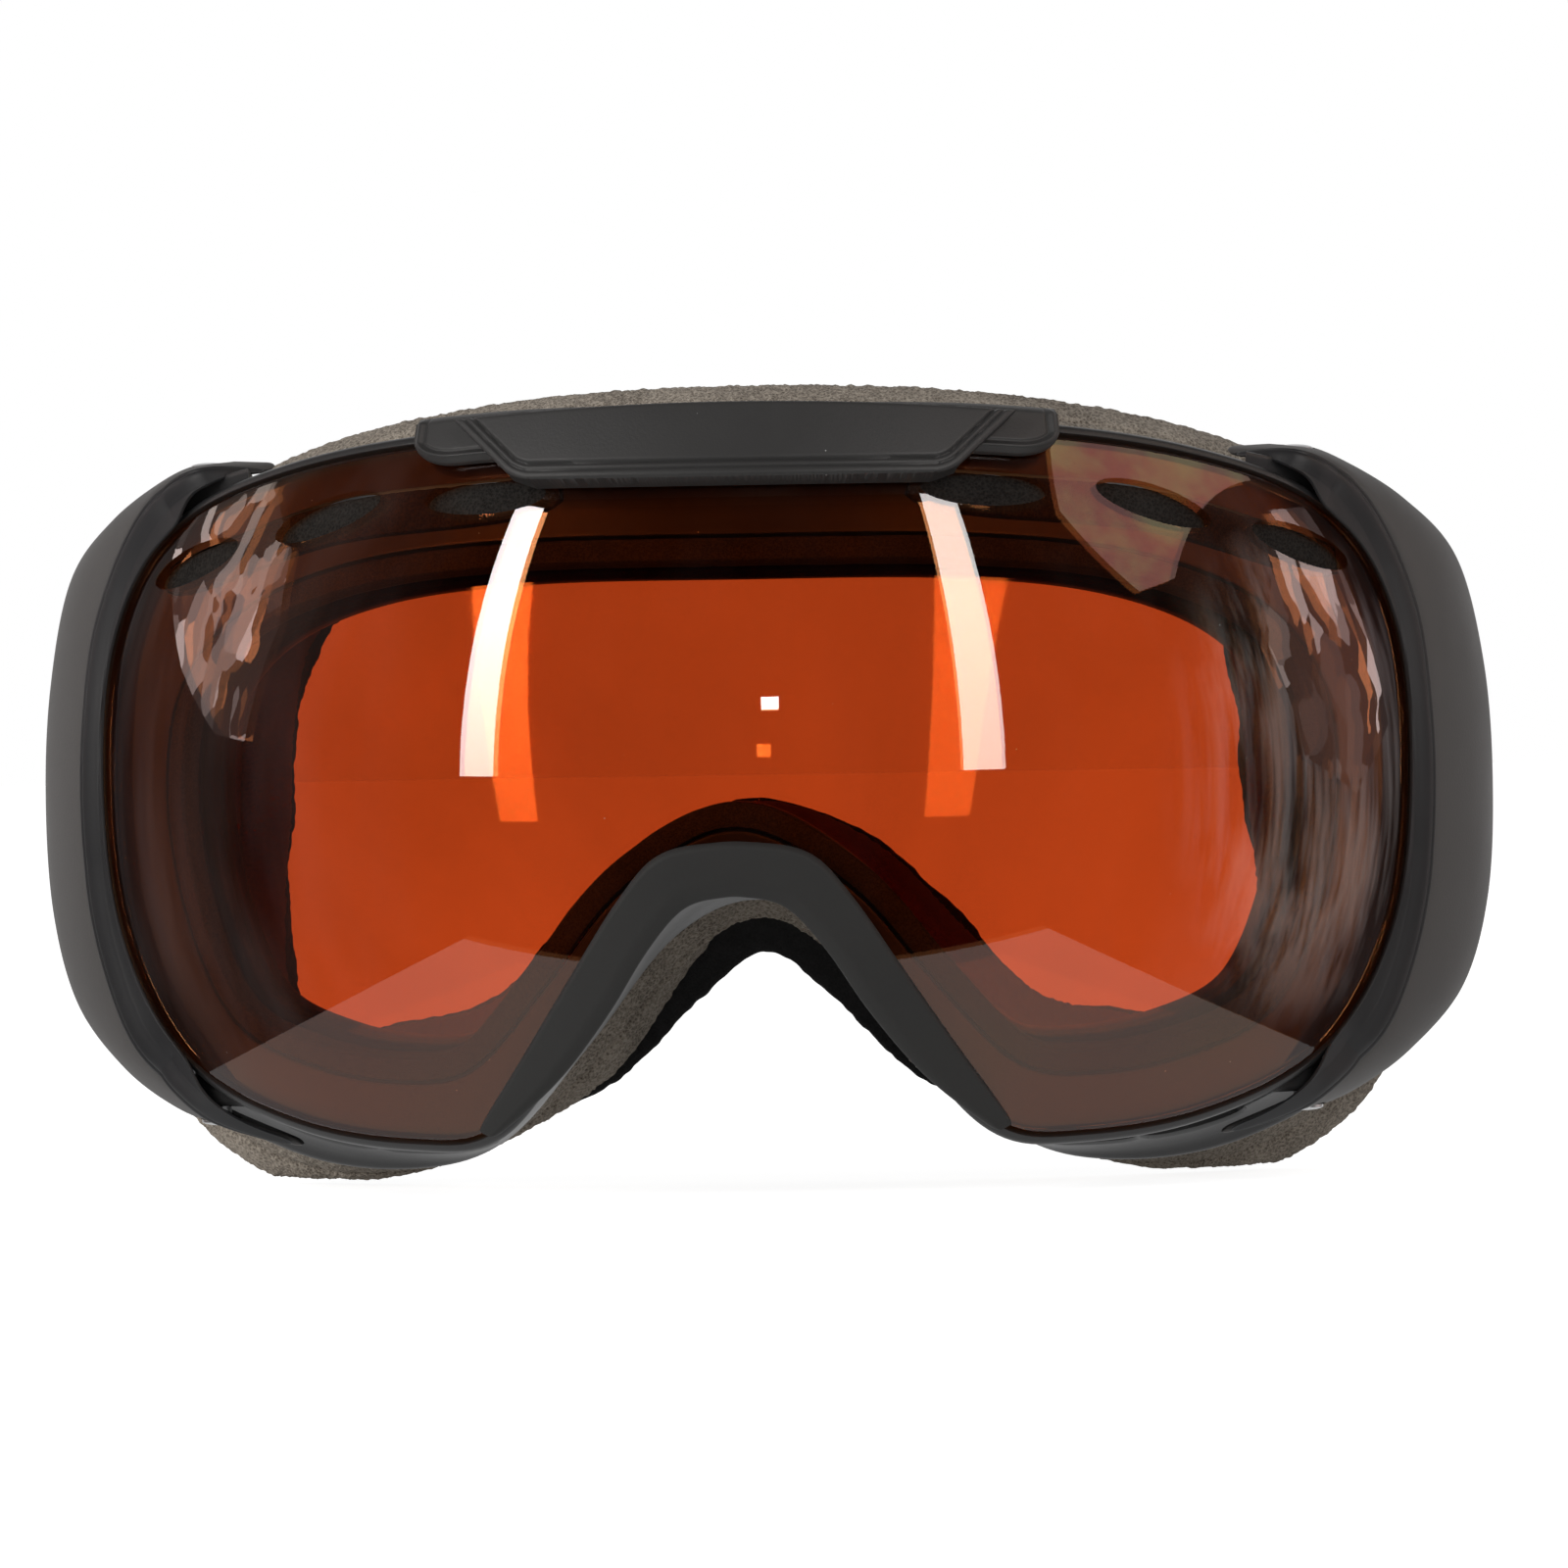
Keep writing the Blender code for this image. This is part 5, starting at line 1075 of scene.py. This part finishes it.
# Share of its width, share of its height, and share of the way to the frame's rim.
EDGING = (
    (0.0, 0.0, 0), (0.0, 0.4, 0), (0.0, 0.72, 0), (0.02, 0.9, 0), (0.08, 1.0, 0), (0.17, 1.0, 0), (0.24, 0.92, 0),
    (0.32, 0.99, 0), (0.45, 0.97, 0), (0.6, 0.84, 0), (0.75, 0.66, 0), (0.88, 0.48, 0), (0.97, 0.36, 0.02),
    (1.0, 0.3, 0.12), (1.0, 0.28, 0.5), (1.0, 0.28, 0.9), (1.0, 0.25, 0.98), (1.0, 0.14, 1.0), (1.0, 0.03, 0.98),
    (1.0, 0.0, 0.9), (1.0, 0.0, 0.5), (1.0, 0.0, 0.1), (0.9, 0.0, 0), (0.5, 0.0, 0),
)
numbers = np.linspace(0.12, LAST_ARM - 0.12, 421)
end = np.minimum(numbers, LAST_ARM - numbers)
front = arm_rails(numbers)[0]
reach = np.linalg.norm(front - CENTRE, axis=1)
out = unit(front - CENTRE)
inward = np.cross(unit(np.gradient(out, axis=0)), out)
inward *= -np.sign(inward[len(inward) // 2, 0])
section = spline(EDGING, np.linspace(0, len(EDGING), 97)[:-1], True)
width = np.interp(end, *np.transpose(EDGE_WIDTHS))[:, None] * MM
height = np.interp(end, (0, 1, 2.5), (0.9, 1.3, 1.6))[:, None] * MM
LIP_RADIUS = LENS_RADIUS + FIT + 0.25 * MM
on_lens_share = np.clip((end - 0.9) / 1.3, 0, 1)
low = (reach - 0.5 * MM) * (1 - on_lens_share) + LIP_RADIUS * on_lens_share
low = np.maximum(low, reach - 1.6 * MM)[:, None]
tip = np.clip((end - 0.12) / 0.25, 0, 1)[:, None]
tip = 0.08 + 0.92 * np.sqrt(1 - (1 - tip) ** 2)
along_rim = np.linspace(1.6, 8.6, 3001)
along_rim = along_rim[distance_index(edge(LENS, along_rim, 1.25 * MM, LENS_RADIUS - LIP_RADIUS), front)]
rim_out = np.interp(end, (1.1, 1.6, 2.2), (0.5, -0.4, -0.9)) * MM
rim = edge(LENS, along_rim, rim_out, LENS_RADIUS - LIP_RADIUS)
skirt = eased((end - 1.1) / 0.8)[:, None]


def bead(share, rise):
    """The edging's raised part: across it by a share of its width, and up by one of its height."""
    level = low + height * (0.4 + (rise - 0.4) * tip)
    return CENTRE + out * level + inward * (0.12 * MM + width * share * tip)


rows = []
for share, rise, thin in section:
    to_rim = rim + (rim - CENTRE) / LENS_RADIUS * (rise * 1.4 * MM) - bead(1.0, rise)
    rows.append(bead(share, rise) + thin * (inward * 0.15 * MM * (1 - skirt) + to_rim * skirt))
edging_sections = np.stack(rows, axis=1)
arm_rubber = moulded("arm_rubber", (0.015, 0.0155, 0.017), 0.5, grain=0.5, depth=0.012, cloud=0.1)
for side, name in ((1, "left"), (-1, "right")):
    edging = skin(f"edging_{name}", edging_sections * (side, 1, 1), arm_rubber)
    stand_in(edging, f"outrigger_edge_{name}", f"outrigger_body_{name}")


# ---- Pivot pins ----
# Turned steel pins with a low domed head, pressed through each ear into the frame's boss.
# Their finish is bright steel with a faint haze and the fine rings that a lathe leaves.
steel, tree, at = new_finish("steel")
blotches = clouds(tree, at, 900.0, 3.0)
look = {
    "Metallic": 1.0,
    "Base Color": mixed(tree, blotches, (0.42, 0.42, 0.43), (0.6, 0.6, 0.6)),
    "Roughness": fitted(tree, blotches, 0.0, 1.0, 0.2, 0.42),
}
stretched = node(tree, "Mapping", {"Vector": at, "Scale": (1, 1, 12)})
finished(steel, look, clouds(tree, stretched, 1500.0, 1.0), 0.01, 0.6)
head = FIT + EAR_THICK - PIN_HEAD
pin_profile = [
    (0.05 * MM, 1.1 * MM - BOSS_HEIGHT), (PIN_RADIUS - 0.25 * MM, 1.1 * MM - BOSS_HEIGHT),
    (PIN_RADIUS, 1.35 * MM - BOSS_HEIGHT), (PIN_RADIUS, head), (PIN_HEAD_RADIUS - 0.08 * MM, head),
    (PIN_HEAD_RADIUS, head + 0.08 * MM), (PIN_HEAD_RADIUS, head + 0.45 * PIN_HEAD),
]
pin_profile += [
    (PIN_HEAD_RADIUS * (1 - 0.95 * t), head + PIN_HEAD * (0.5 + 0.5 * math.sin(t * math.pi / 2) ** 0.6))
    for t in np.linspace(0, 1, 9)
]
for side, name in ((1, "left"), (-1, "right")):
    for level in ("upper", "lower"):
        pin = skin(f"pin_{level}_{name}", turned(*pin_foot(level, side), pin_profile), steel)
        stand_in(pin, f"pivot_pin_{level}_{name}")


# ---- Face foam ----
# Grey-brown open-cell polyurethane foam in two layers, a firmer one glued to the frame's
# flange and a softer one on it, die-cut to the face and left rough at the cut edge.
BASE_FOAM, SOFT_FOAM, FLEECE, LAYER_FIT, FOAM_BULGE = 4.6 * MM, 7.8 * MM, 1.7 * MM, 0.5 * MM, 0.5 * MM


def foam_level(level, rear, outer_out=0.0, inner_in=0.0):
    """Outer edge, middle and inner edge of the foam at a level from the flange (0) to the
    face (1), this far behind the flange."""
    flange_line, opening = outline(FLANGE, ring_at), outline(OPENING, ring_at)
    outer = flange_line * (1 - level) + outline(FACE, ring_at) * level
    inner = (flange_line + (opening - flange_line) * FLANGE_SHARE) * (1 - level) + opening * level
    across = unit(inner - outer)
    outer, inner = outer - across * outer_out, inner - across * inner_in
    outer[:, 1] = np.maximum(outer[:, 1], 0.4 * MM)
    return [on_face(line, FOAM_DEPTH - rear) for line in (outer, (outer + inner) / 2, inner)]


def foam_pad(name, levels, radius, count, grain, finish, node_name):
    """A ring of foam or cloth through its levels: the outer edges, the middle of its back,
    the inner edges and the middle of its front, with a rough skin."""
    outers, middles, inners = zip(*levels)
    curves = [*outers, middles[-1], *inners[::-1], middles[0]]
    sections = evened(rounded(curves, [radius] * len(curves)), count)
    pad = skin(name, roughened(sections, *grain), finish, closed=True, sharp=180)
    stand_in(pad, node_name)
    return pad


base_rear = FIT + BASE_FOAM
soft_front = base_rear + LAYER_FIT
soft_rear = soft_front + SOFT_FOAM
fleece_front = soft_rear + LAYER_FIT
fleece_rear = fleece_front + FLEECE
face_foam = foam("face_foam", (0.06, 0.046, 0.034), (0.42, 0.37, 0.31), 0.42, 0.14, 0.05)
nose_pull = (5.0 * MM * np.exp(-(((ring_at - TURN / 2) / 1.6) ** 2)))[:, None]
base_levels = [foam_level(0.0, FIT), foam_level(0.35, base_rear)]
soft_levels = [
    foam_level(0.38, soft_front, 0.2 * MM),
    foam_level(0.6, soft_front + 0.28 * SOFT_FOAM, FOAM_BULGE - 0.6 * nose_pull, -FOAM_BULGE),
    foam_level(0.85, soft_front + 0.65 * SOFT_FOAM, FOAM_BULGE - nose_pull, -FOAM_BULGE),
    foam_level(1.0, soft_rear, -0.4 * MM - nose_pull),
]
for name, node_name, slot, levels, count, seed in (
    ("foam_base", "face_foam_base", "base_foam", base_levels, 72, 41),
    ("foam_soft", "face_foam_soft", "soft_foam", soft_levels, 96, 42),
):
    pad = foam_pad(name, levels, 0.8, count, (0.075, 0.6, 0.5, seed), face_foam, node_name)
    # Painted shade on each pad's inner cut face, which faces into the goggles: up to 0.85, about 0.6 of the way
    # round each section.
    inner_face_shade = 0.85 * np.clip(8 * (0.2 - np.abs(np.arange(count) / count - 0.6)), 0, 1)
    inner_face_shade = np.tile(inner_face_shade, ROUND)
    pad.data.attributes.new("inner_face_shade", "FLOAT", "POINT").data.foreach_set("value", inner_face_shade)


# ---- Fleece ----
# A thin layer of black brushed fleece, bonded to the back of the foam, where it lies on the
# face. Its cut edges stand out a little and wave. Its pile is soft clumps over a finer fuzz.
fleece, tree, at = new_finish("fleece")
both = between(tree, 0.5, clouds(tree, at, 420.0, 5.0, 0.7), clouds(tree, at, 3600.0))
tone = mixed(tree, both, (0.006, 0.006, 0.006), (0.045, 0.045, 0.046))
look = {"Base Color": mixed(tree, specks(tree, at, 380.0, 0.72, 0.035), tone, (0.3, 0.3, 0.29)), "Roughness": 1.0}
finished(fleece, {**look, "Specular IOR Level": 0.1, "Sheen Weight": 0.15}, both, 0.25)
phase = np.arange(ROUND)[:, None] / ROUND * 2 * np.pi
wave = (0.45 * np.sin(8 * phase + 0.7) + 0.3 * np.sin(15 * phase + 1.3) + 0.16 * np.sin(31 * phase + 0.4)) * MM
levels = [
    foam_level(1.0, fleece_front, 0.25 * nose_pull - 0.8 * MM, wave - 0.3 * MM),
    foam_level(1.0, (fleece_front + fleece_rear) / 2, 0.25 * nose_pull - 0.8 * MM, wave - 0.2 * MM),
    foam_level(1.0, fleece_rear, -1.9 * MM, wave + 1.2 * MM),
]
cloth = foam_pad("fleece_layer", levels, 0.5, 84, (0.07, 1.6, 1.2, 51), fleece, "face_fleece")
